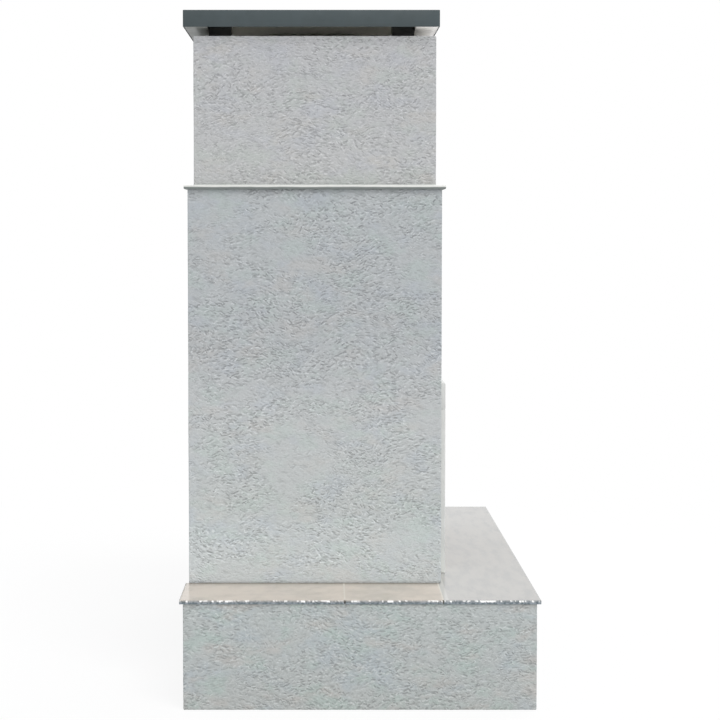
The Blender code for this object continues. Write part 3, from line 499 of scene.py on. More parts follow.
# %% Render finish
def render_finish(name, base, tints, painted_light_stops, least=0.25, hollow_shade=STROKE_SHADE):
    """Each tint drifts through the base as a faint cloud. least is how much of the strokes is left
    where the coat was floated smooth, hollow_shade is how much painted shade darkens each stroke's
    hollow, and painted_light_stops paint light and shade by height."""
    finish = Finish(name, roughness=0.93, specular=0.25)
    colour = base
    for tint, (scale, stretch, shift, start) in zip(tints, CLOUDS):
        mist = finish.cloud(scale, 4, 0.6, stretch, shift)
        colour = mist.share(start, start + 0.20).blend(colour, tint)
    # dark is the colour of painted shade, and pale the colour of a painted highlight.
    dark = tuple(0.50 * c for c in base)
    pale = tuple(min(1.0, 1.30 * c) for c in base)
    rough = finish.cloud(5.0, 3, stretch=(1, 1, 2.0)).share(0.35, 0.57, least, 1.0)
    long_dark, long_pale = strokes(finish, (0.021, 0.0100), 0.0112, 0.0034, 3.3, 0.35)
    short_dark, short_pale = strokes(finish, (0.015, 0.0092), 0.0068, 0.0030, 8.1, -0.5, 1.6)
    hollow = long_dark.math("MAXIMUM", short_dark) * rough
    lip = long_pale.math("MAXIMUM", short_pale) * rough
    # Painted shade in the drags, in the strokes' hollows and in the low spots of the fine grain,
    # and a painted highlight on the strokes' lips.
    drag = finish.attribute("tone").share(-0.8, 0.0, 1.0, 0.0)
    pebble = finish.cloud(150, 2, 0.6, (1, 1, 1.6))
    colour = (drag * DRAG_SHADE).blend(colour, dark)
    colour = (hollow * hollow_shade).blend(colour, dark)
    colour = (lip * STROKE_HIGHLIGHT).blend(colour, pale)
    colour = pebble.share(0.2, 0.6, GRAIN_PIT_SHADE, 0.0).blend(colour, dark)
    finish.give("Base Color", painted_light_by_height(finish, colour, painted_light_stops))
    sand = finish.cloud(420)
    finish.bump(sand * 0.25 + pebble - hollow * 1.2 + lip * 0.8, 0.0012)
    return finish.material


# %% Colours of the three coats
BODY_RENDER = render_finish(
    "body_render_coat",
    srgb(213, 217, 218),
    (srgb(209, 215, 220), srgb(210, 219, 217), srgb(216, 217, 216)),
    # Painted light and shade by height: a dark line at the wall's foot, palest just above it, and
    # darker upwards.
    (
        (0.386, 0.75, 0.75, 0.73),
        (0.394, 0.95, 0.965, 0.96),
        (0.55, 0.85, 0.865, 0.86),
        (0.66, 0.775, 0.78, 0.765),
        (1.02, 0.74, 0.735, 0.73),
        (1.24, 0.665, 0.665, 0.67),
        (1.80, 0.66, 0.665, 0.67),
    ),
)
column_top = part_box("column_render")[1].z
COLUMN_RENDER = render_finish(
    "column_render_coat",
    srgb(187, 188, 189),
    (srgb(185, 187, 191), srgb(185, 189, 187), srgb(190, 189, 187)),
    # Painted light and shade by height: darker upwards in the shade of the cap, and paler again
    # along the column's top edge.
    (
        (1.82, 0.99, 0.99, 0.975),
        (2.10, 0.95, 0.955, 0.955),
        (2.34, 0.93, 0.93, 0.935),
        (column_top - 0.0120, 0.94, 0.94, 0.945),
        (column_top - 0.0055, 1.12),
        (column_top - 0.0018, 1.26),
    ),
    least=0.5,
    hollow_shade=0.64,
)
PLINTH_RENDER = render_finish(
    "plinth_render_coat",
    srgb(180, 185, 184),
    (srgb(176, 184, 187), srgb(175, 187, 183), srgb(184, 184, 181)),
    # Painted light and shade by height: a pale band just under the hearth slab, against its
    # shadow, and a dark line at the plinth's top.
    (
        (0.0, 1.0, 0.98, 0.97),
        (0.16, 0.99, 0.98, 0.98),
        (0.338, 1.0),
        (0.350, 1.095),
        (0.3565, 1.21),
        (0.360, 1.32),
        (0.363, 1.36),
        (0.3668, 1.02),
        (0.371, 0.80),
    ),
    least=0.5,
    hollow_shade=0.68,
)
print("nodes in a render finish:", len(BODY_RENDER.node_tree.nodes))

# %% [markdown]
# ## Render: the three coats
# Body, column and plinth each get four panels. The side in the photograph has the finest
# grid. The body's front is cut round the fire opening, and its back runs down behind the
# hearth slabs to the plinth.

# %% Make the panels
hearth_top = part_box("hearth_slab_left_front")[1].z
body_low, body_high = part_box("body_render")
body_foot = hearth_top + 0.0012
body_half = body_high.x
opening_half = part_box("firebox_floor")[1].x + 0.0006
opening_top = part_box("opening_lintel")[0].z
skirt_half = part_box("body_wall_rear")[1].x

for side in ("left", "right"):
    render_panel("body", side, BODY_RENDER, (body_foot, body_high.z))
render_panel(
    "body", "front", BODY_RENDER,
    heights=(body_foot, opening_top, body_high.z),
    breaks=(body_half - opening_half, body_half + opening_half),
    keep=lambda s, z: z > opening_top or abs(s - body_half) > opening_half,
)
render_panel(
    "body", "rear", BODY_RENDER,
    heights=(body_low.z, body_foot, body_high.z),
    breaks=(body_half - skirt_half, body_half + skirt_half),
    keep=lambda s, z: z > body_foot or abs(s - body_half) < skirt_half,
)
for side in SIDES:
    render_panel("column", side, COLUMN_RENDER)
    render_panel("plinth", side, PLINTH_RENDER)

# %% [markdown]
# ## Stone: the finish of the hearth
# The hearth is thin polished limestone, with its edges left broken. Beside the body it is painted
# beige, and in front of the fire greyer and darker: one stone in two painted copies, whose
# difference stands in for light and reflection. The finish has three parts, told apart by numbers
# on the points: the polished face, the dull sawn edge, painted dark blue-grey as shade, and bright
# fresh chips.


# %% Stone finish
def stone_finish(name, base, vein, roughness=0.22, painted_light_stops=None, close=None, cells=(9, 9, 9)):
    """painted_light_stops are brightness factors by height that paint light and shade, and cells
    is how many veins there are in a metre along each axis. close gives a colour for one region, a
    painted patch of light or shade. Along each axis it names, the colour is full at the first
    distance and gone at the second."""
    finish = Finish(name)
    broken, edge = finish.attribute("broken"), finish.attribute("edge")
    colour = finish.cloud(1, 5, 0.62, cells).share(0.40, 0.68).blend(base, vein)
    # close is a painted patch: painted shade on the side stone, painted light on the front stone.
    if close:
        tint, *reaches = close
        near = 1.0
        for axis, full, gone in reaches:
            near = finish.place().part(axis).size().share(full, gone, 1.0, 0.0) * near
        colour = near.blend(colour, tint)
    light = tuple(min(1.0, 1.12 * c) for c in base)
    specks = finish.cloud(160, shift=(4, 2, 9)).share(0.58, 0.70, 0.0, 0.25)
    colour = specks.blend(colour, light)
    # The sawn edge is painted dark blue-grey, as the shade that lies on it.
    edge_shade_colour = finish.cloud(120).share(0.4, 0.6).blend(srgb(96, 108, 114), srgb(142, 150, 156))
    colour = edge.blend(colour, edge_shade_colour)
    colour = broken.share(0.25, 0.75).blend(colour, srgb(240, 240, 238))
    finish.give("Base Color", painted_light_by_height(finish, colour, painted_light_stops) if painted_light_stops else colour)
    dull = broken.math("MAXIMUM", edge).share(0.0, 0.5, roughness, 0.8)
    wear = finish.cloud(24, 3).share(0.35, 0.75, -0.03, 0.05)
    finish.give("Roughness", dull + wear)
    finish.bump(finish.cloud(260, 3) * edge, 0.0006, 0.6)
    return finish.material


# %% Stones and grouts
# The side slabs' beige and the front slabs' grey are painted light and reflection on one stone.
# The side stone's darker band against the body's side walls is painted shade at the wall's foot.
SIDE_STONE = stone_finish(
    "hearth_side_stone",
    srgb(211, 199, 186),
    srgb(194, 185, 173),
    0.10,
    close=(srgb(184, 176, 166), ("X", body_high.x + 0.004, body_high.x + 0.06)),
)
FRONT_STONE = stone_finish(
    "hearth_front_stone",
    srgb(170, 168, 164),
    srgb(157, 157, 155),
    0.10,
    # The paler band along the body's front, at its outer ends, is painted light at the wall's
    # foot.
    close=(
        srgb(188, 187, 183),
        ("X", body_high.x - 0.11, body_high.x - 0.17),
        ("Y", 0.004 - body_low.y, 0.010 - body_low.y),
    ),
    cells=(7, 28, 28),
)
# The front grout is painted grey like the front slabs, as painted light and reflection; the grout
# between the side slabs is beige.
GROUT = stone_finish("hearth_grout", srgb(216, 209, 198), srgb(208, 201, 189), 0.12)
FRONT_GROUT = stone_finish("hearth_front_grout", srgb(168, 168, 165), srgb(163, 163, 161), 0.12)
SURROUND_STONE = stone_finish(
    "surround_stone",
    srgb(214, 215, 212),
    srgb(206, 207, 204),
    0.4,
    # Painted light by height: palest at the foot, and less so upwards.
    painted_light_stops=((0.38, 1.38, 1.38, 1.36), (0.51, 1.14), (0.66, 1.0), (1.10, 0.97)),
)
print("materials so far:", len(bpy.data.materials))

# %% [markdown]
# ## Stone: the hearth slabs
# A slab starts as a box. Its top is inset by a chip's width, and each wall is cut twice
# lengthwise and many times across, which gives the arris a string of points to break.
# Where a noise runs high the arris is knocked back and down, as a mason's hammer leaves
# it. The joints and the front edge are sawn clean, so only the other sides are broken.

# %% Chips
CHIP_INSET = 0.006
CHIP_CELL = 0.0036
CHIP_BACK = 0.0042
CHIP_DOWN = 0.0020
SAWN_ROUGHNESS = 0.0010
CLEAN_SIDES = ("front",)
SIDE_AXES = {"left": (0, -1), "right": (0, 1), "front": (1, -1), "rear": (1, 1)}


def chip_at(point, seed):
    """How much stone is gone at a point of the arris, 0 to 1."""
    long = noise.noise(Vector((point.x * 46, point.y * 46, seed)))
    short = noise.noise(Vector((point.x * 165, point.y * 165, seed + 4)))
    return max(0.0, min(1.0, 0.36 + 1.9 * long + 2.6 * short))


# %% Slab maker
def reach_along(edge, axis):
    return abs(edge.verts[0].co[axis] - edge.verts[1].co[axis])


def slab_piece(node_name, exposed, material):
    low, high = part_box(node_name)
    shape = bmesh.new()
    box_shape(shape, low, high)
    top = [f for f in shape.faces if all(v.co.z > high.z - 1e-5 for v in f.verts)]
    ops.inset_region(shape, faces=top, thickness=CHIP_INSET, use_even_offset=True)
    upright = [e for e in shape.edges if reach_along(e, 2) > 0.01]
    ops.subdivide_edges(shape, edges=upright, cuts=2, use_grid_fill=True)
    for axis in (0, 1):
        span = high[axis] - low[axis]
        long = [e for e in shape.edges if reach_along(e, axis) > 0.5 * span - 2 * CHIP_INSET]
        ops.subdivide_edges(shape, edges=long, cuts=round(span / CHIP_CELL))
    broken = shape.verts.layers.float.new("broken")
    edge = shape.verts.layers.float.new("edge")
    for vert in shape.verts:
        on = []
        for side in exposed:
            axis, sign = SIDE_AXES[side]
            if abs(vert.co[axis] - (low, high)[sign > 0][axis]) < 1e-5:
                on.append(side)
        if not on:
            continue
        level = (high.z - vert.co.z) / (high.z - low.z)
        clean = all(side in CLEAN_SIDES for side in on)
        gone = 0.0 if clean else chip_at(vert.co, 3.7)
        deep = 0.0 if clean else chip_at(vert.co, 11.3)
        if level < 0.1:
            back = 0.0008 + CHIP_BACK * gone
            vert[broken] = gone
            vert[edge] = 0.0 if clean else 0.5
            vert.co.z -= 0.0005 + CHIP_DOWN * gone
        elif level < 0.5:
            back = 0.0022 * gone * deep
            vert[broken] = gone * deep
            vert[edge] = 0.8
            vert.co.z -= 0.0012 * gone
        else:
            rough = SAWN_ROUGHNESS * (0.1 if clean else 1.0)
            back = rough * (1 + noise.noise(vert.co * 90))
            vert[edge] = 1.0
        for side in on:
            axis, sign = SIDE_AXES[side]
            vert.co[axis] -= sign * back
    outward_normals(shape)
    add_piece(node_name + "_stone", shape, material, [node_name])
    return low, high


# %% The six slabs
slab_box = {}
for hand in ("left", "right"):
    for name, exposed, stone in (
        (f"{hand}_rear", (hand, "rear"), SIDE_STONE),
        (f"{hand}_front", (hand,), SIDE_STONE),
        (f"front_{hand}", (hand, "front"), FRONT_STONE),
    ):
        slab_box[name] = slab_piece(f"hearth_slab_{name}", exposed, stone)
print("hearth slabs:", sorted(slab_box))

# %% [markdown]
# Two slabs run across the front, and two strips follow on each side. The joints are
# grouted flush, so they show only by a slight change of tone. A joint is the gap between
# two slabs' boxes, filled with a thin bar.

# %% Hearth joints
GROUT_DROP = 0.00003
GROUT_RISE = 0.0008
CORNER_GAP = 0.006


def grout_joint(name, low, high, material):
    shape = bmesh.new()
    bottom = hearth_top - GROUT_RISE
    box_shape(shape, (*low, bottom), (*high, hearth_top - GROUT_DROP))
    add_piece(f"grout_{name}", shape, material)


front_low, front_high = slab_box["front_left"]
other_low = slab_box["front_right"][0]
start = (front_high.x, front_low.y + CORNER_GAP)
grout_joint("middle", start, (other_low.x, front_high.y), FRONT_GROUT)
for hand in ("left", "right"):
    near_low, near_high = slab_box[f"{hand}_front"]
    far_low = slab_box[f"{hand}_rear"][0]
    start = near_low.x + (CORNER_GAP if hand == "left" else 0)
    end = near_high.x - (CORNER_GAP if hand == "right" else 0)
    grout_joint(f"front_{hand}", (start, front_high.y), (end, near_low.y), GROUT)
    grout_joint(f"side_{hand}", (start, near_high.y), (end, far_low.y), GROUT)
print("a joint is", round(1000 * (far_low.y - near_high.y), 1), "mm wide")

# %% [markdown]
# ## A copy of a CAD piece with eased edges
# Plain pieces already have their right shape, only too sharp. Their CAD mesh is loose
# triangles, so a copy is merged and its flat faces are joined again, and then every sharp
# edge gets a small round, which is what catches the light.


# %% Eased copies
SHARP_DEGREES = 25
SMOOTH_DEGREES = 38


def eased_copy(node_name, width, material, body="masonry", steps=2):
    shape = bmesh.new()
    shape.from_mesh(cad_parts[node_name].data)
    ops.remove_doubles(shape, verts=shape.verts, dist=1e-5)
    flat = {"verts": shape.verts, "edges": shape.edges}
    ops.dissolve_limit(shape, angle_limit=radians(1), **flat)
    limit = radians(SHARP_DEGREES)
    sharp = [e for e in shape.edges if e.is_manifold and e.calc_face_angle() > limit]
    round_edges(shape, sharp, width, steps, clamp=True)
    smooth(shape)
    for edge in shape.edges:
        if edge.is_manifold and edge.calc_face_angle() > radians(SMOOTH_DEGREES):
            edge.smooth = False
    add_piece(f"{node_name}_eased", shape, material, [node_name], body)


# %% [markdown]
# ## The ledge
# A thin stone string course runs round the body's top and throws rain clear of the wall. Its face
# is painted dark as shade, and only its upper arris is painted pale, as the light from the sky
# that meets it.


# %% Ledge
ledge_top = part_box("ledge_left")[1].z


def ledge_finish():
    finish = Finish("ledge_stone", roughness=0.6)
    mottle = finish.cloud(30, 4)
    # The face is painted dark as shade, and the upper arris is painted pale as the sky's light on
    # it.
    face = mottle.blend(srgb(112, 118, 116), srgb(134, 139, 136))
    painted_sky_highlight = mottle.blend(srgb(210, 212, 208), srgb(226, 227, 222))
    ragged = finish.cloud(12).share(0.3, 0.7, -0.0006, 0.0006)
    level = finish.place().part("Z") + ragged
    arris = level.share(ledge_top - 0.0070, ledge_top - 0.0044)
    finish.give("Base Color", arris.blend(face, painted_sky_highlight))
    finish.bump(finish.cloud(300, 3), 0.0004, 0.5)
    return finish.material


LEDGE_STONE = ledge_finish()
for side in SIDES:
    eased_copy(f"ledge_{side}", 0.0016, LEDGE_STONE)

# %% [markdown]
# A bead of pale sealant closes the joint at the column's foot: a box whose top and
# bottom are inset and joined into a ring, with a rounded outer arris.


# %% Sealant at the column's foot
def sealant_finish():
    finish = Finish("sealant_bead", roughness=0.55)
    tone = finish.cloud(18, 3)
    finish.give("Base Color", tone.blend(srgb(190, 193, 190), srgb(208, 210, 206)))
    finish.bump(finish.cloud(120), 0.0005, 0.4)
    return finish.material


BEAD = 0.0036
TUCKED = 0.0025
column_low, column_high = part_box("column_render")
reach = Vector((BEAD - TUCKED, BEAD - TUCKED, 0))
bead_low = column_low - reach
bead_low.z = ledge_top + 0.0002
bead_high = column_high + reach
bead_high.z = bead_low.z + BEAD
shape = bmesh.new()
box_shape(shape, bead_low, bead_high)
level = [face for face in shape.faces if abs(face.normal.z) > 0.9]
ops.inset_individual(shape, faces=level, thickness=BEAD, use_even_offset=True)
ops.delete(shape, geom=level, context="FACES_ONLY")
open_edges = [edge for edge in shape.edges if edge.is_boundary]
ops.bridge_loops(shape, edges=open_edges)
rim = [v for v in shape.verts if v.co.z > bead_high.z - 1e-5]
arris = edges_among(shape, [v for v in rim if abs(v.co.x) > bead_high.x - 1e-5])
round_edges(shape, arris, 0.7 * BEAD, 3)
outward_normals(shape)
print("sealant:", len(arris), "edges rounded")
add_piece("column_foot_sealant", shape, sealant_finish())

# %% [markdown]
# ## Metal finishes
# The cap is folded sheet in satin grey paint, with a very faint ripple like orange skin.
# Its legs are black steel. Inside the firebox, iron is bare: cast for the grate and the
# damper plate, rolled for the spindle and its lever.


# %% Metals
SKIN = (220, 0.0003)


def metal_finish(name, dark, light, roughness, metallic=0.0, spread=6.0, grain=SKIN, sheen=0.0):
    """spread is the scale of the stains, and grain the scale and height of the skin."""
    finish = Finish(name, metallic=metallic)
    finish.give("Sheen Weight", sheen)
    finish.give("Sheen Roughness", 0.6)
    stain = finish.cloud(spread, 4, 0.6).share(0.32, 0.68)
    finish.give("Base Color", stain.blend(srgb(*dark), srgb(*light)))
    rub = finish.cloud(3 * spread, 3)
    finish.give("Roughness", rub.share(0.3, 0.7, roughness - 0.06, roughness + 0.08))
    finish.bump(finish.cloud(grain[0]), grain[1], 0.5)
    return finish.material


CAP_PAINT = metal_finish("cap_paint", (60, 70, 72), (65, 76, 79), 0.6, grain=(500, 0.0001))
# The two rails are one paint in two painted copies: near white in front as painted light, grey
# behind as painted shade.
RAIL_LIT_COPY = metal_finish("rail_paint_lit_copy", (250, 246, 239), (252, 249, 243), 0.3, sheen=1.0)
RAIL_SHADED_COPY = metal_finish("rail_paint_shaded_copy", (134, 137, 134), (144, 146, 143), 0.45)
DECK_BOARD = metal_finish("deck_board", (240, 238, 224), (246, 244, 230), 0.8, 0.0, 14, sheen=0.4)
CAGE_PAINT = metal_finish("cage_paint", (172, 172, 160), (190, 190, 178), 0.7, 0.0, 20)
BLACK_STEEL = metal_finish("black_steel", (24, 25, 26), (34, 35, 35), 0.5, 0.2)
ZINC = metal_finish("zinc_bolt", (150, 152, 155), (176, 178, 180), 0.35, 0.9, 40)
CAST_IRON = metal_finish("cast_iron", (46, 45, 45), (66, 63, 61), 0.62, 0.5, 18, (160, 0.0012))
ROLLED_STEEL = metal_finish("rolled_steel", (92, 90, 90), (122, 119, 116), 0.4, 0.9, 22)
PAN_STEEL = metal_finish("pan_steel", (52, 52, 54), (76, 75, 75), 0.45, 0.7, 9)
print("materials so far:", len(bpy.data.materials))

# %% [markdown]
# ## The cap
# A tray of folded sheet, upside down on four legs, keeps rain out of the flue. The CAD
# tray and rails are right in size. Their edges get the small radius of a press brake.

# %% Cap
CAP_LEGS = ("front_left", "front_right", "rear_left", "rear_right")
eased_copy("cap_cover", 0.0012, CAP_PAINT)
# The front rail gets the painted light copy of the rail paint, and the rear rail the painted shade
# copy.
eased_copy("cap_rail_front", 0.002, RAIL_LIT_COPY)
eased_copy("cap_rail_rear", 0.002, RAIL_SHADED_COPY)
eased_copy("cap_deck", 0.001, DECK_BOARD)
for leg in CAP_LEGS:
    eased_copy(f"cap_leg_{leg}", 0.0015, BLACK_STEEL)
cover_low, cover_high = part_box("cap_cover")
print("the cap is", round(1000 * (cover_high.z - cover_low.z)), "mm high")

# %% [markdown]
# Each leg stands on a foot plate that is bolted down. Four hexagon heads on washers per
# foot: a six-sided cone with nearly equal ends is a bolt's head, and a thin disc of many
# sides is a washer.


# %% Foot bolts
BOLT_INSET = 0.0065
FOOT_PLATE = 0.006
BOLT = 0.0042
# For the washer and the head: middle height, sides, radius below and above, and depth.
DISCS = ((0.0007, 20, 1.35 * BOLT, 1.3 * BOLT, 0.0014), (0.0032, 6, BOLT, 0.97 * BOLT, 0.0034))
shape = bmesh.new()
for leg in CAP_LEGS:
    low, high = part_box(f"cap_leg_{leg}")
    for x in (low.x + BOLT_INSET, high.x - BOLT_INSET):
        for y in (low.y + BOLT_INSET, high.y - BOLT_INSET):
            for middle, sides, foot, top, depth in DISCS:
                size = {"segments": sides, "radius1": foot, "radius2": top, "depth": depth}
                made = ops.create_cone(shape, cap_ends=True, **size)["verts"]
                where = Vector((x, y, low.z + FOOT_PLATE + middle))
                ops.translate(shape, vec=where, verts=made)
print("foot bolts:", len(shape.verts), "points")
add_piece("cap_foot_bolts", shape, ZINC)

# %% [markdown]
# ## Firebox: bricks
# The lining is firebrick in running bond. A brick and its thin fire clay joint take 230
# by 71 mm of the face. A brick is a box with a small bevel, slightly turned. The CAD
# lining stays and shows as the joints. Bricks that pass its end are cut there by a plane.


# %% Firebrick
def brick_finish():
    finish = Finish("firebrick", roughness=0.9, specular=0.2)
    burnt = finish.attribute("brick").blend(srgb(176, 146, 110), srgb(206, 178, 138))
    spots = finish.cloud(90, 4, 0.7)
    colour = spots.share(0.55, 0.75).blend(burnt, srgb(140, 104, 74))
    high = finish.place().part("Z").share(0.45, 1.05)
    deep = finish.place().part("Y").share(-0.25, 0.15)
    smoke = finish.cloud(5, 4).share(0.3, 0.6, 0.55, 1.0)
    soot = high * deep * 0.9 * smoke
    finish.give("Base Color", soot.blend(colour, srgb(44, 41, 39)))
    finish.bump(spots, 0.0015, 0.6)
    return finish.material


# %% Other minerals
def mineral_finish(name, dark, light, spread=14, grain=180, height=0.0008):
    finish = Finish(name, roughness=0.92, specular=0.2)
    tone = finish.cloud(spread, 5, 0.65).share(0.35, 0.65)
    finish.give("Base Color", tone.blend(srgb(*dark), srgb(*light)))
    finish.bump(finish.cloud(grain, 3), height, 0.7)
    return finish.material


FIREBRICK = brick_finish()
FIRE_CLAY = mineral_finish("fire_clay_joint", (120, 112, 100), (146, 138, 124))
REFRACTORY = mineral_finish("refractory_cast", (96, 92, 86), (128, 122, 112))
CROWN_COAT = mineral_finish("crown_coat", (238, 237, 230), (245, 244, 238))
CONCRETE = mineral_finish("cast_concrete", (150, 149, 145), (172, 170, 165))
BLOCKWORK = mineral_finish("blockwork", (132, 132, 130), (156, 156, 153), 30, 120, 0.002)
MORTAR = mineral_finish("joint_mortar", (208, 203, 192), (218, 214, 203), 60)
CLAY = mineral_finish("flue_clay", (150, 92, 66), (178, 114, 84), 8, 140, 0.001)
print("materials so far:", len(bpy.data.materials))

# %% One brick
BRICK_LONG = 0.230
BRICK_HIGH = 0.064
BRICK_DEEP = 0.010
BRICK_PROUD = 0.003
JOINT = 0.007
SHORTEST = 0.02
LOWEST = 0.012
BACK_UPRIGHT = 0.360
BACK_HALF = 0.300
BACK_THICK = 0.060


def lay_brick(shape, low, high, seed, tone):
    """One brick, lifted and turned by a hair, with a tint of its own."""
    before = set(shape.verts)
    made = box_shape(shape, low, high)
    round_edges(shape, edges_among(shape, made), 0.0018)
    verts = [v for v in shape.verts if v not in before]
    lift = (0, 0, 0.0008 * noise.noise(seed * 8.3))
    ops.translate(shape, vec=lift, verts=verts)
    middle = Vector(((low[0] + high[0] + JOINT) / 2, (low[1] + high[1]) / 2, 0))
    lean = Matrix.Rotation(radians(0.6 * noise.noise(seed * 5.7)), 3, "Z")
    ops.rotate(shape, cent=middle, matrix=lean, verts=verts)
    for vert in verts:
        vert[tone] = 0.5 + 0.5 * noise.noise(seed * 3.1)


# %% Courses of bricks
def lay_bricks(name, origin, right, up, width, height, cuts=(), proud=BRICK_PROUD, stands_for=()):
    """Lays running bond on a plane. right and up are unit vectors in the wall, and cuts
    are (point, normal) planes: what lies on a normal's side is cut away."""
    shape = bmesh.new()
    tone = shape.verts.layers.float.new("brick")
    turn = Matrix((right, up, right.cross(up))).transposed().to_4x4()
    course, z = 0, JOINT / 2
    while z < height:
        x = -BRICK_LONG / 2 * (course % 2)
        while x < width:
            start, end = max(x, 0.0), min(x + BRICK_LONG, width)
            tall = min(BRICK_HIGH, height - z)
            if end - start > SHORTEST and tall > LOWEST:
                seed = Vector((x * 7.3, z * 11.1, origin.y * 3 + origin.x))
                low = (start, z, proud - BRICK_DEEP)
                lay_brick(shape, low, (end - JOINT, z + tall, proud), seed, tone)
            x += BRICK_LONG
        z += BRICK_HIGH + JOINT
        course += 1
    ops.transform(shape, matrix=Matrix.Translation(origin) @ turn, verts=shape.verts)
    for point, normal in cuts:
        geom = shape.verts[:] + shape.edges[:] + shape.faces[:]
        plane = {"plane_co": point, "plane_no": normal, "clear_outer": True}
        cut = ops.bisect_plane(shape, geom=geom, dist=1e-6, **plane)["geom_cut"]
        open_edges = [g for g in cut if isinstance(g, BMEdge) and g.is_boundary]
        if open_edges:
            ops.edgeloop_fill(shape, edges=open_edges)
    outward_normals(shape)
    print(name, len(shape.faces), "faces")
    add_piece(name, shape, FIREBRICK, stands_for)


# %% Where the lining is
floor_low, floor_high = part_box("firebox_floor")
side_low, side_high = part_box("firebox_side_right")
back_low, back_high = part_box("firebox_back")
back_y = back_high.y - BACK_THICK
mouth_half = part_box("surround_right")[0].x
foot_z = side_low.z
print("firebox from y", round(side_low.y, 4), "to", round(back_y, 4))

# %% [markdown]
# The lining splays: wide at the mouth and narrower at the back, so that heat is thrown
# forwards. Higher up the back leans towards the throat. Each face is laid as a plane of
# bricks, and the side linings' planes trim the back's courses.

# %% Firebox faces
UP = Vector((0, 0, 1))
across = Vector((1, 0, 0))
mouth = Vector((mouth_half, side_low.y, 0))
rear = Vector((BACK_HALF, back_y, 0))
splay = (mouth - rear).normalized()
trim = []
for hand in (1, -1):
    normal = Vector((hand * -splay.y, splay.x, 0))
    inner = Vector((hand * BACK_HALF, back_y, 0)) - normal * (BRICK_PROUD + 0.0015)
    trim.append((inner, normal))
wide = 2 * mouth_half
foot = Vector((-mouth_half, back_y, foot_z))
knee = Vector((-mouth_half, back_y, foot_z + BACK_UPRIGHT))
lean = Vector((-mouth_half, back_low.y, side_high.z)) - knee
lay_bricks("firebox_back_bricks", foot, across, UP, wide, BACK_UPRIGHT, trim)
lay_bricks("firebox_lean_bricks", knee, across, lean.normalized(), wide, lean.length, trim)
notch_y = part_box("opening_lintel")[1].y + 0.002
behind_lintel = [(Vector((0, notch_y, 0)), Vector((0, -1, 0)))]
for level, bottom, top, cuts in (
    ("", foot_z, opening_top, ()),
    ("_upper", opening_top, side_high.z, behind_lintel),
):
    for hand, start, way in (
        ("right", rear, splay),
        ("left", Vector((-mouth.x, mouth.y, 0)), Vector((splay.x, -splay.y, 0))),
    ):
        name = f"firebox_{hand}{level}_bricks"
        lay_bricks(name, start + UP * bottom, way, UP, (mouth - rear).length, top - bottom, cuts)

# %% [markdown]
# The floor is flush with the hearth, because the ash pan slides over it. So here the
# bricks don't stand proud: they lie in a clay bed whose top is a little lower.

# %% Firebox floor
JOINT_RECESS = 0.002
FLOOR_SUNK = 0.0009
shape = bmesh.new()
box_shape(shape, floor_low, floor_high - Vector((0, 0, JOINT_RECESS)))
add_piece("firebox_floor_bed", shape, FIRE_CLAY, ["firebox_floor"])
size = floor_high - floor_low
corner = Vector((floor_low.x, floor_low.y, floor_high.z))
settings = {"proud": -FLOOR_SUNK, "stands_for": ["firebox_floor"]}
lay_bricks("firebox_floor_bricks", corner, across, Vector((0, 1, 0)), size.x, size.y, **settings)

# %% [markdown]
# ## The mouth of the fire
# The surround is three honed stone bands with eased edges. Grate and damper keep their
# CAD shape, with rounded edges as a casting has them, and ride on the bodies that move.

# %% Surround, grate and damper
RIB_WIDTH, RIB_HEIGHT, RIB_FROM_EDGE = 0.008, 0.0032, 0.010
for part in ("left", "right", "header"):
    eased_copy(f"surround_{part}", 0.003, SURROUND_STONE, steps=3)
eased_copy("log_grate", 0.0028, CAST_IRON, "grate")
eased_copy("damper_plate", 0.0014, CAST_IRON, "damper")
eased_copy("damper_spindle", 0.0008, ROLLED_STEEL, "damper", steps=1)
eased_copy("damper_lever", 0.0007, ROLLED_STEEL, "damper", steps=1)
plate_low, plate_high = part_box("damper_plate")
shape = bmesh.new()
for way in (0.2, 0.5, 0.8):
    x = plate_low.x + (plate_high.x - plate_low.x) * way
    low = (x - RIB_WIDTH / 2, plate_low.y + RIB_FROM_EDGE, plate_high.z - 0.0005)
    high = (x + RIB_WIDTH / 2, plate_high.y - RIB_FROM_EDGE, plate_high.z + RIB_HEIGHT)
    made = box_shape(shape, low, high)
    rib_top = [v for v in made if v.co.z > plate_high.z]
    round_edges(shape, edges_among(shape, rib_top), 0.0014)
print("damper ribs:", len(shape.faces), "faces")
add_piece("damper_plate_ribs", shape, CAST_IRON, (), "damper")

# %% [markdown]
# ## Rods
# A rod is a circle that is extruded from point to point. Each new ring is turned half way
# between the stretch before and the stretch after, so that a bend keeps its thickness.


# %% Rod maker
def rod(shape, points, radius, closed=False, sides=10):
    points = [Vector(p) for p in points]
    count = len(points)
    ring = ops.create_circle(shape, cap_ends=not closed, radius=radius, segments=sides)["verts"]
    local = [v.co.copy() for v in ring]
    first = ring
    for i, point in enumerate(points):
        before = points[i - 1] if i or closed else point
        after = points[(i + 1) % count] if i + 1 < count or closed else point
        way_in = (point - before if before != point else after - point).normalized()
        way_out = (after - point).normalized() if after != point else way_in
        turn = (way_in + way_out).normalized().to_track_quat("Z", "Y")
        if i:
            grown = ops.extrude_edge_only(shape, edges=edges_among(shape, ring))["geom"]
            fresh = {g for g in grown if isinstance(g, BMVert)}
            near = [{e.other_vert(old) for e in old.link_edges} for old in ring]
            ring = [(verts & fresh).pop() for verts in near]
        for vert, at in zip(ring, local):
            vert.co = point + turn @ at
    last = edges_among(shape, ring)
    if closed:
        ops.bridge_loops(shape, edges=last + edges_among(shape, first))
    else:
        ops.contextual_create(shape, geom=last)


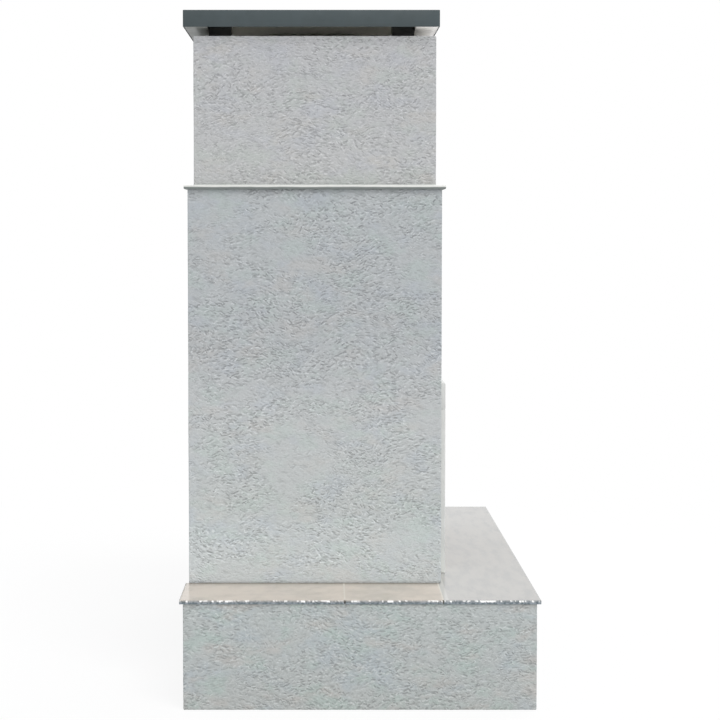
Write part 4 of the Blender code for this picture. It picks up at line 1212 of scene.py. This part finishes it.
# %% Rounded corners and rings
def rounded(points, radius, steps=4, closed=False):
    """Rounds the corners of a run of points."""
    points = [Vector(p) for p in points]
    out = []
    for i, point in enumerate(points):
        if not closed and i in (0, len(points) - 1):
            out.append(point)
            continue
        back = (points[i - 1] - point).normalized() * radius
        ahead = (points[(i + 1) % len(points)] - point).normalized() * radius
        for step in range(steps + 1):
            t = step / steps
            out.append(point + back * (1 - t) ** 2 + ahead * t**2)
    return out


def square(shape, low, high, inset, z, corner, radius, sides):
    """A closed ring of rod along the inside of a rectangle, with rounded corners."""
    xs, ys = (low[0] + inset, high[0] - inset), (low[1] + inset, high[1] - inset)
    run = [(xs[0], ys[0], z), (xs[1], ys[0], z), (xs[1], ys[1], z), (xs[0], ys[1], z)]
    rod(shape, rounded(run, corner, closed=True), radius, closed=True, sides=sides)


# %% [markdown]
# ## The ash pan
# A pressed steel tray: a box without its lid, with rounded lower edges and the thickness
# of the sheet, and with a wired rim and a bail handle of bent rod.

# %% Ash pan
SHEET = 0.0016
RIM_WIRE = 0.0026
HANDLE_ROD = 0.004
HANDLE_REACH = 0.030
HANDLE_HEIGHT = 0.025
PLATE_HALF = (0.009, 0.012)
pan_low, pan_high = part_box("ash_pan")
pan_front = pan_low.y + HANDLE_REACH
shape = bmesh.new()
inner_low = (pan_low.x + SHEET, pan_front + SHEET, pan_low.z)
box_shape(shape, inner_low, pan_high - Vector((SHEET, SHEET, RIM_WIRE)))
lid = [f for f in shape.faces if f.calc_center_median().z > pan_high.z - 0.004]
ops.delete(shape, geom=lid, context="FACES_ONLY")
round_edges(shape, [e for e in shape.edges if not e.is_boundary], 0.006, 3)
outward_normals(shape)
floor_face = min(shape.faces, key=lambda f: f.calc_center_median().z)
if floor_face.normal.z > 0:
    ops.reverse_faces(shape, faces=shape.faces)
ops.solidify(shape, geom=shape.faces[:], thickness=SHEET)
smooth(shape)
rim_low = (pan_low.x, pan_front)
square(shape, rim_low, pan_high, RIM_WIRE, pan_high.z - RIM_WIRE, 0.007, RIM_WIRE, 10)
grip_z = pan_low.z + HANDLE_HEIGHT
grip = 0.055 - HANDLE_ROD
root, reach = pan_front + 0.002, pan_low.y + HANDLE_ROD
bail = [(-grip, root, grip_z), (-grip, reach, grip_z), (grip, reach, grip_z), (grip, root, grip_z)]
rod(shape, rounded(bail, 0.010), HANDLE_ROD, sides=14)
for x in (-grip, grip):
    low = (x - PLATE_HALF[0], pan_front - 0.0002, grip_z - PLATE_HALF[1])
    box_shape(shape, low, (x + PLATE_HALF[0], pan_front + 0.0018, grip_z + PLATE_HALF[1]))
outward_normals(shape)
print("ash pan:", len(shape.faces), "faces")
add_piece("ash_pan_tray", shape, PAN_STEEL, ["ash_pan"], "pan")

# %% [markdown]
# ## The spark arrestor
# A cage of bars round the flue's mouth stops embers. Two square hoops carry the upright
# bars, with two thin wires round them.

# %% Spark arrestor
HOOP = 0.004
BAR = 0.002
WIRE = 0.0013
BARS = 12
cage_low, cage_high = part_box("spark_arrestor")
shape = bmesh.new()


def hoop(z, radius, inset):
    square(shape, cage_low, cage_high, inset, z, 0.006, radius, 8)


# %% Hoops and bars
hoop(cage_low.z + HOOP, HOOP, HOOP)
hoop(cage_high.z - HOOP, HOOP, HOOP)
for part in (1 / 3, 2 / 3):
    hoop(cage_low.z + (cage_high.z - cage_low.z) * part, WIRE, HOOP - BAR - WIRE * 0.6)
for i in range(BARS):
    t = HOOP + (cage_high.x - cage_low.x - 2 * HOOP) * i / (BARS - 1)
    for x, y in (
        (cage_low.x + t, cage_low.y + HOOP),
        (cage_low.x + t, cage_high.y - HOOP),
        (cage_low.x + HOOP, cage_low.y + t),
        (cage_high.x - HOOP, cage_low.y + t),
    ):
        rod(shape, [(x, y, cage_low.z + HOOP), (x, y, cage_high.z - HOOP)], BAR, sides=8)
smooth(shape)
outward_normals(shape)
print("arrestor faces:", len(shape.faces))
add_piece("spark_arrestor_cage", shape, CAGE_PAINT, ["spark_arrestor"])

# %% [markdown]
# ## Crown and flue
# The crown and the flue's clay end are worn at their edges. Their CAD shape is right, so
# they are eased copies too, with a wider round than the metal has.

# %% Crown and flue
eased_copy("crown_slab", 0.004, CROWN_COAT)
eased_copy("flue_liner", 0.0025, CLAY)

# %% [markdown]
# ## Floor and light
# A plain pale floor and a white surround, as in a studio. The lamps are soft suns with a
# wide disc, so shadows are faint, and the world lights the object less than it shows
# itself to the camera: Light Path tells the two apart.

# %% Floor
FLOOR_REACH = 40
FLOOR_WHITE = 0.86


def shown_plain(tree, lit, plain, amount=1.0):
    """Mixes two shaders: eyes and mirrors meet plain, and light still meets lit."""
    camera_ray = node(tree, "LightPath", "Is Camera Ray")
    direct = camera_ray.math("MAXIMUM", camera_ray.sibling("Is Glossy Ray"))
    direct = direct.math("MAXIMUM", camera_ray.sibling("Is Transmission Ray"))
    return node(tree, "MixShader", 0, (direct * amount, lit, plain))


paint = Finish("floor_paint", roughness=1.0, specular=0.0)
paint.give("Base Color", (FLOOR_WHITE, FLOOR_WHITE, FLOOR_WHITE))
far = node(paint.tree, "VectorMath", "Value", (paint.place(),), operation="LENGTH")
lit = Value(paint.shader.outputs[0])
glow = node(paint.tree, "Emission", 0)
surface = shown_plain(paint.tree, lit, glow, far.share(1.4, 4.0, 0.88, 1.0))
plug(surface, paint.tree.nodes["Material Output"].inputs["Surface"])
shape = bmesh.new()
ops.create_grid(shape, x_segments=1, y_segments=1, size=FLOOR_REACH)
mesh_object("studio_floor", shape, paint.material)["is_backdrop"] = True
print("the floor reaches", FLOOR_REACH, "m each way")

# %% World and lamps
AMBIENT = 0.60
world = bpy.data.worlds.new("studio")
world.use_nodes = True
bpy.context.scene.world = world
sky = world.node_tree.nodes["Background"]
plug((AMBIENT, AMBIENT, AMBIENT * 1.02), sky.inputs["Color"])
white = node(world.node_tree, "Background", 0, ((1, 1, 1),))
surface = shown_plain(world.node_tree, Value(sky.outputs[0]), white)
plug(surface, world.node_tree.nodes["World Output"].inputs["Surface"])


def soft_sun(name, towards, strength, disc_degrees):
    lamp = bpy.data.lights.new(name, "SUN")
    lamp.energy = strength
    lamp.angle = radians(disc_degrees)
    turn = Vector(towards).to_track_quat("-Z", "Y")
    new_object(name, lamp).rotation_euler = turn.to_euler()


soft_sun("sky_left_front", (0.62, 0.34, -1.0), 1.75, 30)
soft_sun("sky_right", (-0.6, 0.3, -0.8), 0.7, 50)
bpy.context.scene.view_settings.view_transform = "Standard"
print("lamps:", [lamp.name for lamp in bpy.data.lights])

# %% [markdown]
# ## The CAD pieces that stay
# Blocks, walls and linings behind the skin keep their CAD mesh. Its grey material is named
# after what the piece is made of, so the name says which finish takes its place.

# %% Finishes for the CAD pieces that stay
STAYING = {
    "blockwork": BLOCKWORK,
    "concrete": CONCRETE,
    "mortar": MORTAR,
    "firebrick": FIRE_CLAY,
    "refractory": REFRACTORY,
    "clay": CLAY,
    "cast_iron": CAST_IRON,
    "black_steel": BLACK_STEEL,
    "steel": ROLLED_STEEL,
    "slab_stone": SIDE_STONE,
    "cap_metal": CAP_PAINT,
    "soffit": DECK_BOARD,
    "render": BODY_RENDER,
}
print(sorted({s.material.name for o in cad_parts.values() for s in o.material_slots}))
for name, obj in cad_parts.items():
    for slot in obj.material_slots:
        slot.material = STAYING[slot.material.name.split(".")[0]]

# %% [markdown]
# ## Sizes
# The visible model should be as large as the CAD model.

# %% Sizes
low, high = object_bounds()
grown = [h - l - ch + cl for l, h, cl, ch in zip(low, high, cad_low, cad_high)]
print("grown by mm:", [round(1000 * size, 2) for size in grown])
